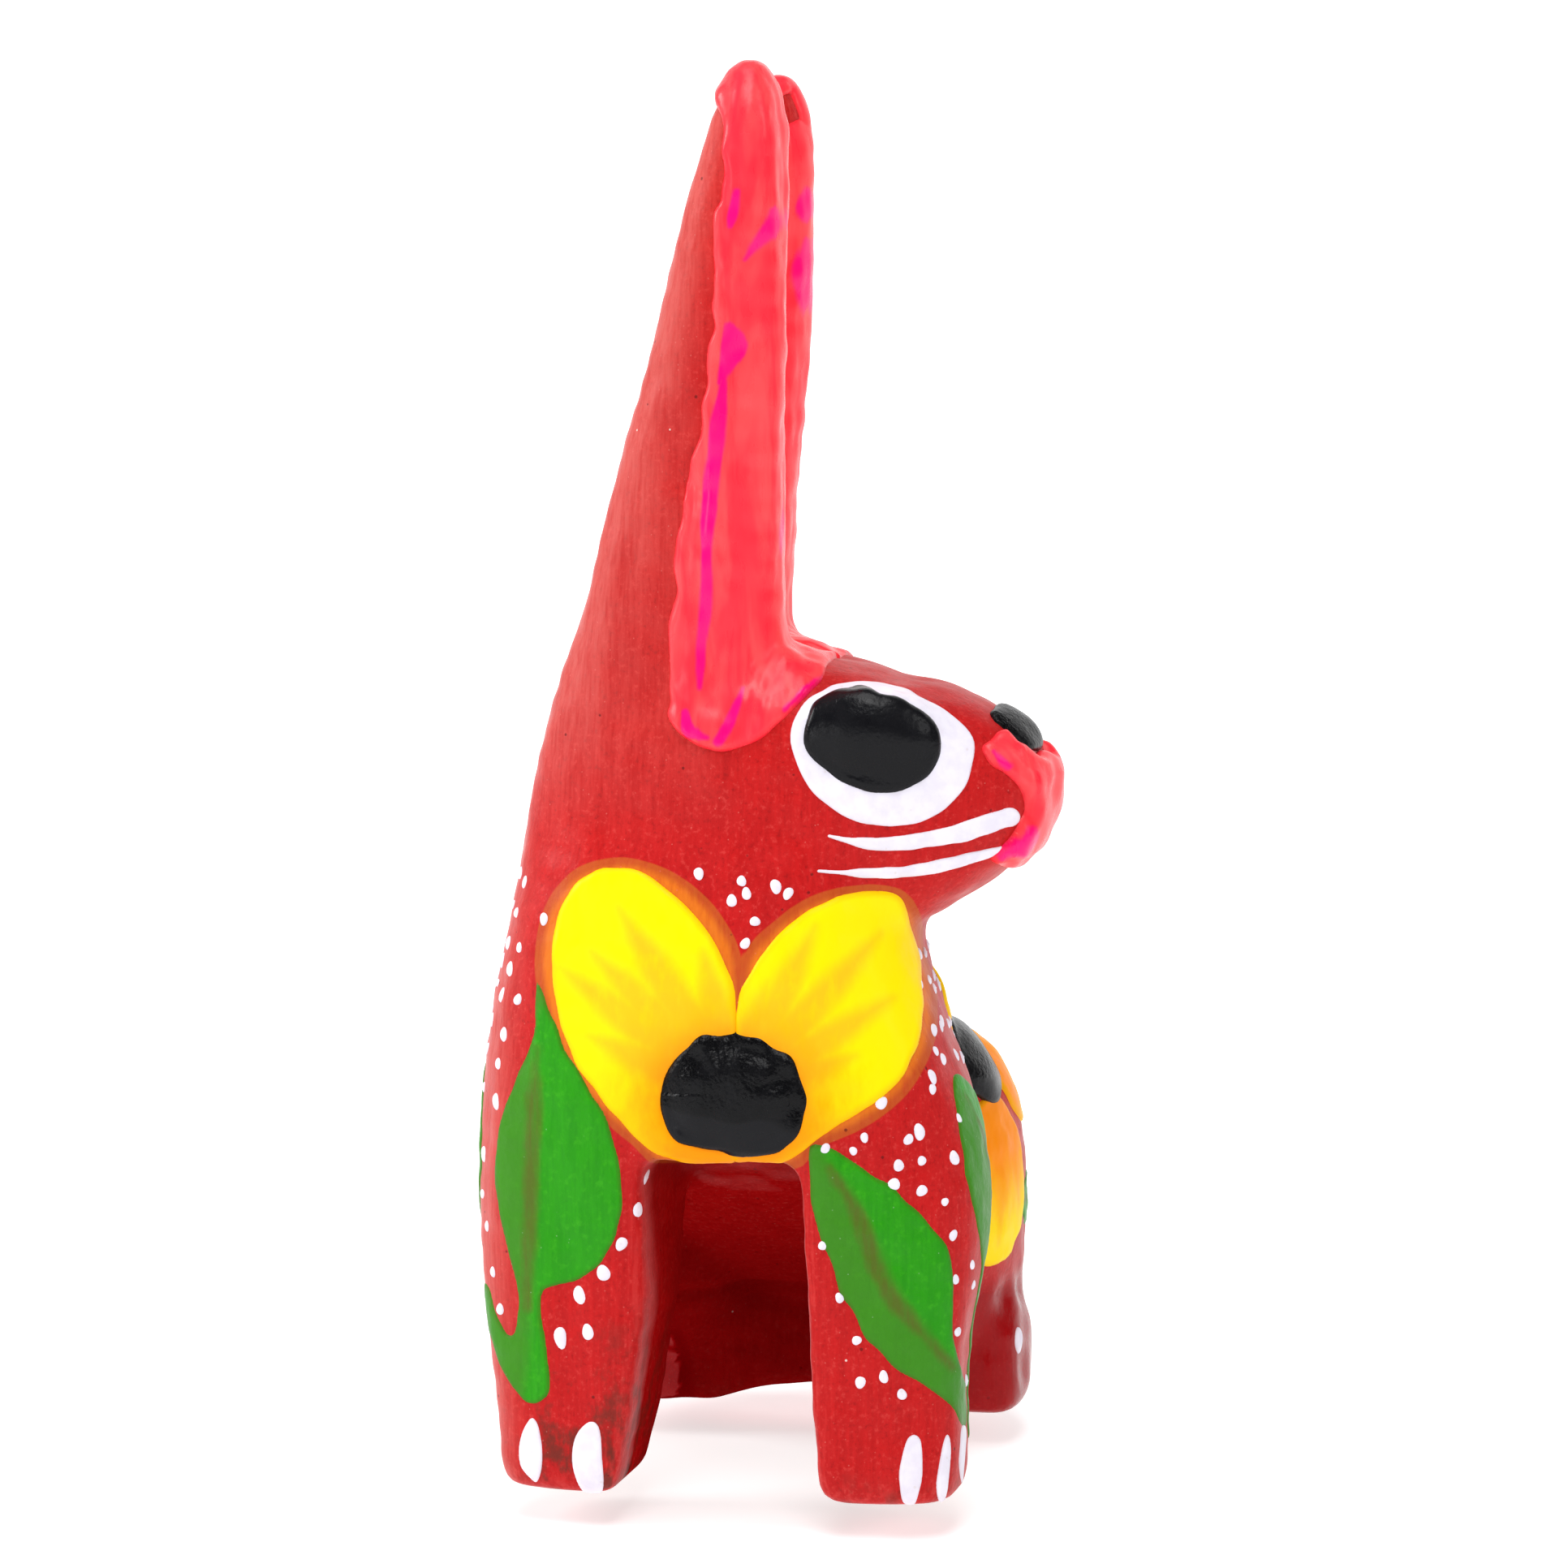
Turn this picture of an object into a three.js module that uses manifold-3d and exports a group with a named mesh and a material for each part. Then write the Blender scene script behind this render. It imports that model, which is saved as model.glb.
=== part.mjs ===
// A carved and painted wooden rabbit that sits upright with its head turned over its left shoulder.
// Millimetres, +Z up. The chest faces -Y and the muzzle points along +X, so the animal's left is +X.
//
// The figure is glued up from carved blocks on flat joints, each located by a peg, and then carved
// through the joints. The eyes, nose, lips, ear linings and flower centres are built up on the wood
// in thick paint.
import * as THREE from "three";
import { mergeVertices } from "three/addons/utils/BufferGeometryUtils.js";
import Module from "manifold-3d";

const GLUE_GAP = 0.3; // clearance left in every joint and round every peg

// Places that several pieces share.
const BODY_X = -0.6; // the body's middle plane
const HEAD_Y = -13; // the head's middle plane, at right angles to the body's
const NECK_JOINT = { x: 15.2, z: 44.5, slope: 11 }; // the throat corner, and the tilt up to the nape
const EAR_JOINT_Z = 68.4;
const EAR_SPREAD = 5.2; // from the head's middle plane to the middle of an ear
const HIP_JOINT = { inner: 10.6, front: 2.2, top: 39 }; // squared notch that takes a hind leg
const TAIL = { at: [BODY_X, 31.4, 13], radii: [4.6, 4.6, 4.8] };
const SEAT_ARCH = { x: 1.2, radius: 22, rise: 2.1 };
const FORELEG_GAP = { left: -5.3, right: 7.8, top: 27.7, back: -2 };
const LINING = { clearance: 0.3, thickness: 0.55 };
const WIDE = 60; // further than the figure reaches in any direction from its middle

const PAINT = { red: 0xb3161b, pink: 0xff2f4a, black: 0x111113, bareWood: 0xc9a878 };

const wasm = await Module();
wasm.setup();

// ---------------------------------------------------------------- solids and geometries

// Turns a closed three.js geometry into a manifold solid whose faces point outwards.
function solid(geometry) {
  const plain = new THREE.BufferGeometry();
  plain.setAttribute("position", geometry.getAttribute("position"));
  plain.setIndex(geometry.index);
  const merged = mergeVertices(plain, 1e-4);
  const vertProperties = new Float32Array(merged.getAttribute("position").array);
  const triVerts = new Uint32Array(merged.index.array);
  const made = new wasm.Manifold(new wasm.Mesh({ numProp: 3, vertProperties, triVerts }));
  if (made.volume() > 0) return made;
  for (let i = 0; i < triVerts.length; i += 3) {
    [triVerts[i + 1], triVerts[i + 2]] = [triVerts[i + 2], triVerts[i + 1]];
  }
  return new wasm.Manifold(new wasm.Mesh({ numProp: 3, vertProperties, triVerts }));
}

// Turns a manifold solid back into a three.js geometry.
function geometryOf(shape) {
  const mesh = shape.getMesh();
  const geometry = new THREE.BufferGeometry();
  geometry.setAttribute("position", new THREE.BufferAttribute(new Float32Array(mesh.vertProperties), 3));
  geometry.setIndex(new THREE.BufferAttribute(new Uint32Array(mesh.triVerts), 1));
  geometry.computeVertexNormals();
  return geometry;
}

// Lofts a solid through rounded sections along one axis. A section is
// [place along the axis, lowest u, highest u, lowest v, highest v, squareness], where u and v are
// the next two axes in X, Y, Z order and a squareness of 2 is an ellipse.
function loft(axis, sections, around = 24, along = 14) {
  const order = { x: ["x", "y", "z"], y: ["y", "z", "x"], z: ["z", "x", "y"] }[axis];
  const track = (pick) => new THREE.CatmullRomCurve3(sections.map((s) => new THREE.Vector3(...pick(s))));
  const middles = track(([at, u0, u1, v0, v1]) => [at, (u0 + u1) / 2, (v0 + v1) / 2]);
  const sizes = track(([at, u0, u1, v0, v1]) => [at, (u1 - u0) / 2, (v1 - v0) / 2]);
  const squareness = (t) => {
    const place = t * (sections.length - 1);
    const before = Math.min(Math.floor(place), sections.length - 2);
    return THREE.MathUtils.lerp(sections[before][5], sections[before + 1][5], place - before);
  };
  const geometry = new THREE.CylinderGeometry(1, 1, 1, around, along);
  const position = geometry.getAttribute("position");
  const point = new THREE.Vector3();
  for (let i = 0; i < position.count; i++) {
    point.fromBufferAttribute(position, i);
    const t = point.y + 0.5;
    const radius = Math.hypot(point.x, point.z);
    const [c, s] = radius > 0 ? [point.x / radius, point.z / radius] : [1, 0];
    const power = squareness(t);
    const reach = radius / (Math.abs(c) ** power + Math.abs(s) ** power) ** (1 / power);
    const middle = middles.getPoint(t);
    const size = sizes.getPoint(t);
    point[order[0]] = middle.x;
    point[order[1]] = middle.y + size.y * c * reach;
    point[order[2]] = middle.z + size.z * s * reach;
    position.setXYZ(i, point.x, point.y, point.z);
  }
  return solid(geometry);
}

function ellipsoid([x, y, z], [rx, ry, rz], turn = [0, 0, 0], around = 16) {
  const geometry = new THREE.SphereGeometry(1, around, around / 2);
  geometry.scale(rx, ry, rz);
  geometry.applyMatrix4(new THREE.Matrix4().makeRotationFromEuler(new THREE.Euler(...turn)));
  geometry.translate(x, y, z);
  return solid(geometry);
}

function box([x0, y0, z0], [x1, y1, z1]) {
  const geometry = new THREE.BoxGeometry(x1 - x0, y1 - y0, z1 - z0);
  geometry.translate((x0 + x1) / 2, (y0 + y1) / 2, (z0 + z1) / 2);
  return solid(geometry);
}

// An outline in the XZ plane, run along Y between two places.
function slab(outline, y0, y1) {
  const geometry = new THREE.ExtrudeGeometry(outline, {
    depth: y1 - y0,
    bevelEnabled: false,
    curveSegments: 4,
  });
  geometry.rotateX(Math.PI / 2);
  geometry.translate(0, y1, 0);
  return solid(geometry);
}

function rod(from, to, radius) {
  const run = to.clone().sub(from);
  const geometry = new THREE.CylinderGeometry(radius, radius, run.length(), 14);
  const up = new THREE.Vector3(0, 1, 0);
  geometry.applyQuaternion(new THREE.Quaternion().setFromUnitVectors(up, run.clone().normalize()));
  geometry.translate(...from.clone().addScaledVector(run, 0.5).toArray());
  return solid(geometry);
}

function union(shapes) {
  return shapes.reduce((whole, shape) => whole.add(shape));
}

// ---------------------------------------------------------------- the carving

// Chest, shoulders and forelegs: one upright column. Rows are [z, x0, x1, y0, y1, squareness].
function chestColumn() {
  return loft("z", [
    [0, -17.6, 19.6, -25.8, -13.4, 4.8],
    [2, -18.1, 20.0, -26.3, -13.1, 4.4],
    [7, -18.5, 20.0, -26.4, -12.9, 3.9],
    [14, -19.4, 20.4, -26.5, -12.2, 3.6],
    [21, -20.1, 21.5, -26.7, -9.8, 3.3],
    [27, -20.4, 21.1, -27.0, -7.4, 3.2],
    [34, -20.1, 19.2, -27.2, -5.4, 3.1],
    [42, -19.0, 16.0, -26.8, -4.2, 3],
    [48, -17.9, 14.6, -25.8, -3.4, 3],
    [53, -17.0, 13.8, -24.6, -3.0, 3],
  ], 28, 15);
}

// The back, from between the shoulders down to the rump. Rows are [y, z0, z1, x0, x1, squareness].
function backAndRump() {
  return loft("y", [
    [-20, 29.0, 49.0, -16.4, 13.8, 3],
    [-12, 25.0, 50.0, -17.4, 14.6, 2.8],
    [-4, 20.0, 48.6, -16.4, 14.9, 2.7],
    [4, 15.0, 45.4, -15.6, 14.8, 2.6],
    [12, 9.5, 40.2, -14.6, 13.6, 2.4],
    [20, 5.0, 33.0, -14.0, 12.8, 2.3],
    [26.5, 3.0, 26.5, -11.8, 10.8, 2.2],
    [31, 6.5, 19.5, -6.4, 5.4, 2],
  ], 24, 12);
}

// The part of the rump that reaches down between the hind feet.
function seat() {
  return loft("z", [
    [0, -13.2, 12.0, 11.8, 27.2, 3.6],
    [5, -13.6, 12.4, 11.2, 28.0, 3.4],
    [11, -13.4, 12.2, 11.0, 28.2, 3.2],
    [16, -10.6, 9.4, 12.5, 25.5, 2.6],
  ], 16, 4);
}

// Rows of a piece that has a twin across the body's middle plane: [y, z0, z1, inner, outer, squareness],
// the inner and outer reach being measured from that plane.
function paired(side, rows, around, along) {
  const placed = rows.map(([y, z0, z1, inner, outer, power]) => {
    const reach = [BODY_X + side * inner, BODY_X + side * outer].sort((a, b) => a - b);
    return [y, z0, z1, ...reach, power];
  });
  return loft("y", placed, around, along);
}

function haunch(side) {
  return paired(side, [
    [3.4, 14, 29, 6.5, 12.4, 2.3],
    [6, 8.5, 32.0, 4.5, 16.0, 2.3],
    [12, 4.0, 34.0, 3.5, 18.8, 2.4],
    [18, 2.5, 33.0, 3.5, 19.1, 2.5],
    [24, 3.0, 30.0, 4.5, 17.8, 2.5],
    [29, 6.0, 24.5, 6.5, 14.0, 2.3],
    [31.2, 11, 19, 8.5, 11.2, 2],
  ], 20, 10);
}

function hindFoot(side) {
  return paired(side, [
    [11.6, -1.6, 9.4, 10.2, 18.8, 3.4],
    [13.6, -2.4, 10.8, 9.8, 19.6, 3.3],
    [19, -2.4, 10.8, 9.6, 19.5, 3.2],
    [25, -2.0, 9.0, 10.0, 17.8, 3],
    [30, -1.0, 6.4, 10.8, 14.6, 2.7],
  ], 16, 7);
}

// The head, from the back of the skull to the end of the muzzle. Rows are [x, y0, y1, z0, z1, squareness].
function skull(grow) {
  return loft("x", [
    [-15.2, -20.0, -6.0, 46.5, 58.0, 2.6],
    [-12.5, -22.6, -3.6, 43.8, 63.6, 2.8],
    [-8, -23.6, -2.6, 43.4, 67.6, 3],
    [-3, -24.0, -2.0, 44.0, 69.2, 3],
    [4, -24.0, -2.0, 45.0, 68.4, 3.3],
    [10, -23.5, -2.5, 45.6, 66.8, 3.5],
    [15, -22.6, -3.4, 46.2, 65.6, 3.3],
    [20, -20.9, -5.1, 48.7, 64.3, 2.8],
    [24, -18.7, -7.3, 51.8, 61.8, 2.5],
    [26.0, -16.0, -10.0, 54.0, 58.6, 2.3],
  ].map((row) => grown(row, grow)), 24, 14);
}

// The back of the neck, between the shoulders and the ears. Rows are [z, x0, x1, y0, y1, squareness].
function nape(grow) {
  return loft("z", [
    [42, -19.0, 0, -23.0, -3.0, 2.8],
    [50, -18.0, 1, -23.0, -3.0, 2.8],
    [58, -16.4, 2, -22.8, -3.2, 2.8],
    [68, -13.2, 3, -22.4, -3.6, 2.8],
  ].map((row) => grown(row, grow)), 20, 5);
}

// One ear with its root. Side is -1 for the right ear, on the chest's side, and +1 for the left.
// Rows are [z, back, front, half thickness, squareness]; the left ear leans back more at its foot.
function ear(side, grow) {
  const shorter = side > 0 ? 0.99 : 1;
  const rows = [
    [50, -17.2, 4.6, 4.4, 2.8],
    [58, -15.9, 4.6, 4.6, 2.8],
    [66, -13.8, 4.6, 4.7, 2.8],
    [74, -11.1, 4.4, 4.5, 2.7],
    [82, -8.8, 4.4, 4.3, 2.6],
    [90, -6.7, 4.5, 4.1, 2.6],
    [98, -4.6, 4.5, 3.9, 2.5],
    [106, -2.5, 4.5, 3.6, 2.5],
    [111.5, -0.8, 4.3, 3.2, 2.4],
    [114, 0.4, 3.5, 2.3, 2.2],
    [115, 1.3, 2.6, 1.2, 2],
  ];
  return loft("z", rows.map(([z, back, front, half, power], i) => {
    const setBack = side > 0 ? Math.max(0, 3.2 - 0.5 * i) : 0;
    const y = HEAD_Y + side * EAR_SPREAD;
    const row = [z * shorter, back, front - setBack, y - half, y + half, power];
    return grown(row, grow);
  }), 18, 13);
}

// A section that is larger all round by grow.
function grown([at, u0, u1, v0, v1, power], grow) {
  return [at, u0 - grow, u1 + grow, v0 - grow, v1 + grow, power];
}

function headForm(grow) {
  return union([skull(grow), nape(grow), ear(-1, grow), ear(1, grow)]);
}

// The space between the forelegs. It widens at the ground, more on the right leg's side.
function forelegGap() {
  const { left, right, top, back } = FORELEG_GAP;
  const corner = 1.4;
  const outline = new THREE.Shape();
  outline.moveTo(left - 2.6, -1);
  outline.lineTo(left - 1.2, 6);
  outline.lineTo(left + 0.5, 16);
  outline.lineTo(left, top - corner);
  outline.quadraticCurveTo(left, top, left + corner, top);
  outline.lineTo(right - corner, top);
  outline.quadraticCurveTo(right, top, right, top - corner);
  outline.lineTo(right + 0.4, 18);
  outline.lineTo(right + 0.9, 6);
  outline.lineTo(right + 1.4, -1);
  return slab(outline, -WIDE, back);
}

// A shallow arch under the rump, so that the hind end stands on its two feet.
function seatArch() {
  const { x, radius, rise } = SEAT_ARCH;
  const geometry = new THREE.CylinderGeometry(radius, radius, WIDE, 48);
  geometry.translate(x, 0, rise - radius);
  return solid(geometry);
}

// ---------------------------------------------------------------- joints between the blocks

// Everything above the neck joint, moved up by rise.
function aboveNeck(rise) {
  const geometry = new THREE.BoxGeometry(2 * WIDE, 2 * WIDE, 2 * WIDE);
  geometry.translate(0, 0, WIDE + rise);
  geometry.rotateY(THREE.MathUtils.degToRad(NECK_JOINT.slope));
  geometry.translate(NECK_JOINT.x, 0, NECK_JOINT.z);
  return solid(geometry);
}

function aboveEarJoint(rise) {
  return box([-WIDE, -WIDE, EAR_JOINT_Z + rise], [WIDE, WIDE, 2 * WIDE]);
}

// The corner of the body that a hind leg fills, smaller on its joint faces by inset.
function hipNotch(side, inset) {
  const reach = [BODY_X + side * (HIP_JOINT.inner + inset), side * WIDE].sort((a, b) => a - b);
  return box([reach[0], HIP_JOINT.front + inset, -WIDE], [reach[1], WIDE, HIP_JOINT.top - inset]);
}

// ---------------------------------------------------------------- pegs and built-up paint

const EAR_PEG = { bottom: 60, top: 77, x: -3.5, radius: 1.6 };
const HIP_PEG = { inner: 5, outer: 15.5, y: 17, z: 18, radius: 2 };

function earPeg(side) {
  const y = HEAD_Y + side * EAR_SPREAD;
  return { from: [EAR_PEG.x, y, EAR_PEG.bottom], to: [EAR_PEG.x, y, EAR_PEG.top], radius: EAR_PEG.radius };
}

function hipPeg(side) {
  const { inner, outer, y, z, radius } = HIP_PEG;
  return { from: [BODY_X + side * inner, y, z], to: [BODY_X + side * outer, y, z], radius };
}

const PEGS = {
  neck_dowel: { from: [-3, HEAD_Y, 37], to: [-3, HEAD_Y, 60], radius: 3 },
  right_ear_peg: earPeg(-1),
  left_ear_peg: earPeg(1),
  right_hip_peg: hipPeg(-1),
  left_hip_peg: hipPeg(1),
  tail_peg: { from: [BODY_X, 22, TAIL.at[2]], to: [BODY_X, 33, TAIL.at[2]], radius: 1.3 },
};

// Lens-shaped thick paint: middle, half sizes, and turn about each axis. The cheeks draw in towards
// the muzzle, and the haunches towards the back, so the lenses that sit on them are turned to suit.
function pupil(side) {
  return {
    at: [12.8, HEAD_Y + side * 9.6, side > 0 ? 60.7 : 61.3],
    size: [5.6, 1.5, 4.6],
    turn: [-side * 0.2, 0.08, -side * 0.16],
    colour: PAINT.black,
  };
}

function flankFlowerCentre(side) {
  return {
    at: [BODY_X + side * 15.9, 10.6, 31.6],
    size: [1.2, 4.4, 4.1],
    turn: [0, -side * 0.62, 0],
    colour: PAINT.black,
  };
}

const DOMES = {
  right_pupil: pupil(-1),
  left_pupil: pupil(1),
  nose_pad: { at: [23.2, HEAD_Y, 62.1], size: [2.9, 3.8, 1.3], turn: [0, 0.75, 0], colour: PAINT.black },
  lips: { at: [24.8, HEAD_Y, 55.2], size: [2.1, 4.8, 4.7], turn: [0, 0.12, 0], colour: PAINT.pink },
  chest_flower_centre: {
    at: [2.2, -26.8, 33.3],
    size: [6.0, 1.3, 4.8],
    turn: [0, 0, 0],
    colour: PAINT.black,
  },
  right_flank_flower_centre: flankFlowerCentre(-1),
  left_flank_flower_centre: flankFlowerCentre(1),
};

function dome({ at, size, turn }, grow) {
  return ellipsoid(at, size.map((radius) => radius + grow), turn);
}

// The outline that a lining's paint covers on the outside of an ear, down to a lobe on the temple and
// forward on to the forehead as far as brow.
function liningOutline(brow) {
  const outline = new THREE.Shape();
  outline.moveTo(brow, 66.5);
  outline.splineThru([
    [4.4, 63.4],
    [0.8, 60.6],
    [-2.6, 62.2],
    [-3.9, 68.3],
    [-3.5, 78.0],
    [-1.3, 91.0],
    [-0.5, 101.0],
    [0.4, 110.5],
    [3.0, 112.6],
  ].map(([x, z]) => new THREE.Vector2(x, z)));
  outline.lineTo(brow, 112.6);
  return outline;
}

// Thick paint on the outer face and the front edge of an ear.
function earLining(side) {
  const y = HEAD_Y + side * EAR_SPREAD;
  const reach = side > 0 ? [y, WIDE] : [-WIDE, y];
  const { clearance, thickness } = LINING;
  const skin = headForm(clearance + thickness).subtract(headForm(clearance));
  const brow = side > 0 ? 5.2 : 7.5;
  return skin.intersect(slab(liningOutline(brow), ...reach));
}

// ---------------------------------------------------------------- assembly

const carving = union([
  chestColumn().subtract(forelegGap()),
  backAndRump(),
  seat(),
  haunch(-1),
  haunch(1),
  hindFoot(-1),
  hindFoot(1),
  headForm(0),
]).subtract(seatArch()).intersect(box([-WIDE, -WIDE, 0], [WIDE, WIDE, 2 * WIDE]));

const half = GLUE_GAP / 2;
const body = carving.subtract(aboveNeck(-half));
const blocks = {
  torso: body.subtract(hipNotch(-1, -half)).subtract(hipNotch(1, -half)),
  right_hind_leg: body.intersect(hipNotch(-1, half)),
  left_hind_leg: body.intersect(hipNotch(1, half)),
  head: carving.intersect(aboveNeck(half)).subtract(aboveEarJoint(-half)),
  right_ear: ear(-1, 0).intersect(aboveEarJoint(half)),
  left_ear: ear(1, 0).intersect(aboveEarJoint(half)),
  tail: ellipsoid(TAIL.at, TAIL.radii),
};

const pieces = [];

function add(name, shape, colour) {
  pieces.push({ name, shape, colour });
}

function cutFromBlocks(cutter) {
  for (const name of Object.keys(blocks)) blocks[name] = blocks[name].subtract(cutter);
}

blocks.torso = blocks.torso.subtract(ellipsoid(TAIL.at, TAIL.radii.map((radius) => radius + GLUE_GAP)));

for (const [name, { from, to, radius }] of Object.entries(PEGS)) {
  const [start, end] = [new THREE.Vector3(...from), new THREE.Vector3(...to)];
  const overrun = end.clone().sub(start).setLength(GLUE_GAP);
  cutFromBlocks(rod(start.clone().sub(overrun), end.clone().add(overrun), radius + GLUE_GAP));
  add(name, rod(start, end, radius), PAINT.bareWood);
}

for (const [name, shape] of Object.entries(DOMES)) {
  cutFromBlocks(dome(shape, GLUE_GAP));
  add(name, dome(shape, 0), shape.colour);
}

add("right_ear_lining", earLining(-1), PAINT.pink);
add("left_ear_lining", earLining(1), PAINT.pink);
for (const [name, shape] of Object.entries(blocks)) add(name, shape, PAINT.red);

const figure = new THREE.Group();
for (const { name, shape, colour } of pieces) {
  const material = new THREE.MeshStandardMaterial({ color: colour, roughness: 0.6, metalness: 0 });
  const mesh = new THREE.Mesh(geometryOf(shape), material);
  mesh.name = name;
  figure.add(mesh);
}

// The origin is on the ground under the middle of the figure's box.
const extent = new THREE.Box3().setFromObject(figure);
const centre = extent.getCenter(new THREE.Vector3());
for (const mesh of figure.children) mesh.position.set(-centre.x, -centre.y, -extent.min.z);

export default figure;
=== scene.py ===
"""A carved and painted wooden rabbit, finished around its CAD frame.

The frame's wooden blocks are joined into one smoothed skin, as sanding and paint join them on the real
figure, and each block gets its own part of that skin. The painting is modelled as films of paint: each
is cut out of the skin along a drawn outline and raised off it. Lengths are millimetres until a mesh is
made, and places are measured from DRAWING_ORIGIN, on the ground inside the figure.
"""

import math

import bpy
import numpy as np
import openvdb
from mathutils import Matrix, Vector
from mathutils.bvhtree import BVHTree


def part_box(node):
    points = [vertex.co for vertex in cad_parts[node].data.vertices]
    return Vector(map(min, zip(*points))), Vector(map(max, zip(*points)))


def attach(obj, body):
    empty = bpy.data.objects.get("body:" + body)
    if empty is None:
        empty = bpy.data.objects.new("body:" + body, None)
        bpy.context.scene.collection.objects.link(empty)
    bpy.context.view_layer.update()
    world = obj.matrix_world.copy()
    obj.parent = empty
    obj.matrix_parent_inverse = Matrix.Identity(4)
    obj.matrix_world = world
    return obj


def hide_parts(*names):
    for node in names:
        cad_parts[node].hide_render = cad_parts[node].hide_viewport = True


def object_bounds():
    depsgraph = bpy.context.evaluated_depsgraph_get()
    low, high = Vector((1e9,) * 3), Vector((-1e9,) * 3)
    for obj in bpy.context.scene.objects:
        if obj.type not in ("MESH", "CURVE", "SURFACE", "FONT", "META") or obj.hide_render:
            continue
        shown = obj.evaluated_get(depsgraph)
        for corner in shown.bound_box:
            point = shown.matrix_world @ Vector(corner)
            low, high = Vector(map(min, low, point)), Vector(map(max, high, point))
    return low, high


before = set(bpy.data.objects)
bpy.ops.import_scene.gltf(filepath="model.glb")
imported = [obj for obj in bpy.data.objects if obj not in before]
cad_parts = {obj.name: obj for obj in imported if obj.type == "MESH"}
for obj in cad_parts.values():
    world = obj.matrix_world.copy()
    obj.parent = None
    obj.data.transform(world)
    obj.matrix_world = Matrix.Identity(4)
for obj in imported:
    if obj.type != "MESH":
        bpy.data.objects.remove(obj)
cad_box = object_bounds()

MM = 0.001
WOOD = ["torso", "right_hind_leg", "left_hind_leg", "head", "right_ear", "left_ear", "tail"]
PEGS = ["neck_dowel", "right_ear_peg", "left_ear_peg", "right_hip_peg", "left_hip_peg", "tail_peg"]


def middle(node):
    """Middle of a CAD node's box, in millimetres in the row frame."""
    low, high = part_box(node)
    return np.array((low + high) / 2) / MM


HIPS = (middle("right_hind_leg") + middle("left_hind_leg")) / 2
EARS = (middle("right_ear") + middle("left_ear")) / 2
HEAD_MIDDLE_Y = -13.0  # the head's middle plane, in drawing coordinates
BODY_MIDDLE_X = -0.6
DRAWING_ORIGIN = np.array([HIPS[0] - BODY_MIDDLE_X, EARS[1] - HEAD_MIDDLE_Y, 0.0])


def cad_mesh(node):
    """A CAD node's points, in drawing coordinates, and its triangles."""
    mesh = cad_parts[node].data
    mesh.calc_loop_triangles()
    points = np.array([v.co for v in mesh.vertices], np.float32) / MM - DRAWING_ORIGIN
    faces = np.array([t.vertices for t in mesh.loop_triangles], np.uint32)
    return points.astype(np.float32), faces


# ---------------------------------------------------------------- numpy helpers


def unit(vectors):
    return vectors / np.maximum(np.linalg.norm(vectors, axis=-1, keepdims=True), 1e-12)


def ramp(values, start, end):
    """0 before start and 1 after end, with a smooth rise between."""
    t = np.clip((values - start) / (end - start), 0, 1)
    return t * t * (3 - 2 * t)


def ripple(points, wavelength, seed, stretch=(1, 1, 1)):
    """Smooth noise of about unit size at points, whose bumps are about a wavelength apart."""
    rng = np.random.default_rng(seed)
    waves = unit(rng.normal(size=(14, 3))) * rng.uniform(0.6, 1.4, (14, 1)) * 2 * math.pi / wavelength
    phases = rng.uniform(0, 2 * math.pi, 14)
    return np.sin((points / np.array(stretch)) @ waves.T + phases).sum(1) * math.sqrt(2 / 14)


def vertex_normals(points, faces):
    corners = points[faces]
    across = np.cross(corners[:, 1] - corners[:, 0], corners[:, 2] - corners[:, 0])
    total = np.zeros_like(points)
    for k in range(3):
        np.add.at(total, faces[:, k], across)
    return unit(total)


def smooth_curve(points, closed=False, steps=6):
    """Points along a Catmull-Rom curve through the given ones."""
    points = np.array(points, float)
    count = len(points)
    spans = count if closed else count - 1
    result = []
    for i in range(spans):
        picks = [(i + k) % count if closed else min(max(i + k, 0), count - 1) for k in (-1, 0, 1, 2)]
        a, b, c, d = points[picks]
        for t in np.arange(steps) / steps:
            bend, twist = 2 * a - 5 * b + 4 * c - d, 3 * b - a - 3 * c + d
            result.append(0.5 * (2 * b + (c - a) * t + bend * t**2 + twist * t**3))
    if not closed:
        result.append(points[-1])
    return np.array(result)


# ---------------------------------------------------------------- flat shapes, as signed distances


FAR = 6.0  # beyond this a shape's distance isn't needed exactly


def near_only(curve, distance):
    """The distance, worked out exactly only close to the curve's box."""
    low, high = curve[:, :2].min(0) - FAR, curve[:, :2].max(0) + FAR

    def limited(uv):
        near = ((uv > low) & (uv < high)).all(1)
        result = np.full(len(uv), FAR)
        result[near] = distance(uv[near])
        return result

    return limited


def outline(*corners):
    """A closed smooth outline. Its distance is negative inside."""
    curve = smooth_curve(corners, closed=True)

    def distance(uv):
        nearest = np.full(len(uv), 1e9)
        inside = np.zeros(len(uv), bool)
        for start, end in zip(curve, np.roll(curve, -1, axis=0)):
            edge = end - start
            along = np.clip((uv - start) @ edge / (edge @ edge), 0, 1)
            nearest = np.minimum(nearest, ((uv - start - along[:, None] * edge) ** 2).sum(1))
            crosses = (start[1] > uv[:, 1]) != (end[1] > uv[:, 1])
            rise = edge[1] if abs(edge[1]) > 1e-9 else 1e-9
            inside ^= crosses & (uv[:, 0] < start[0] + (uv[:, 1] - start[1]) * edge[0] / rise)
        return np.where(inside, -1, 1) * np.sqrt(nearest)

    return near_only(curve, distance)


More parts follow.
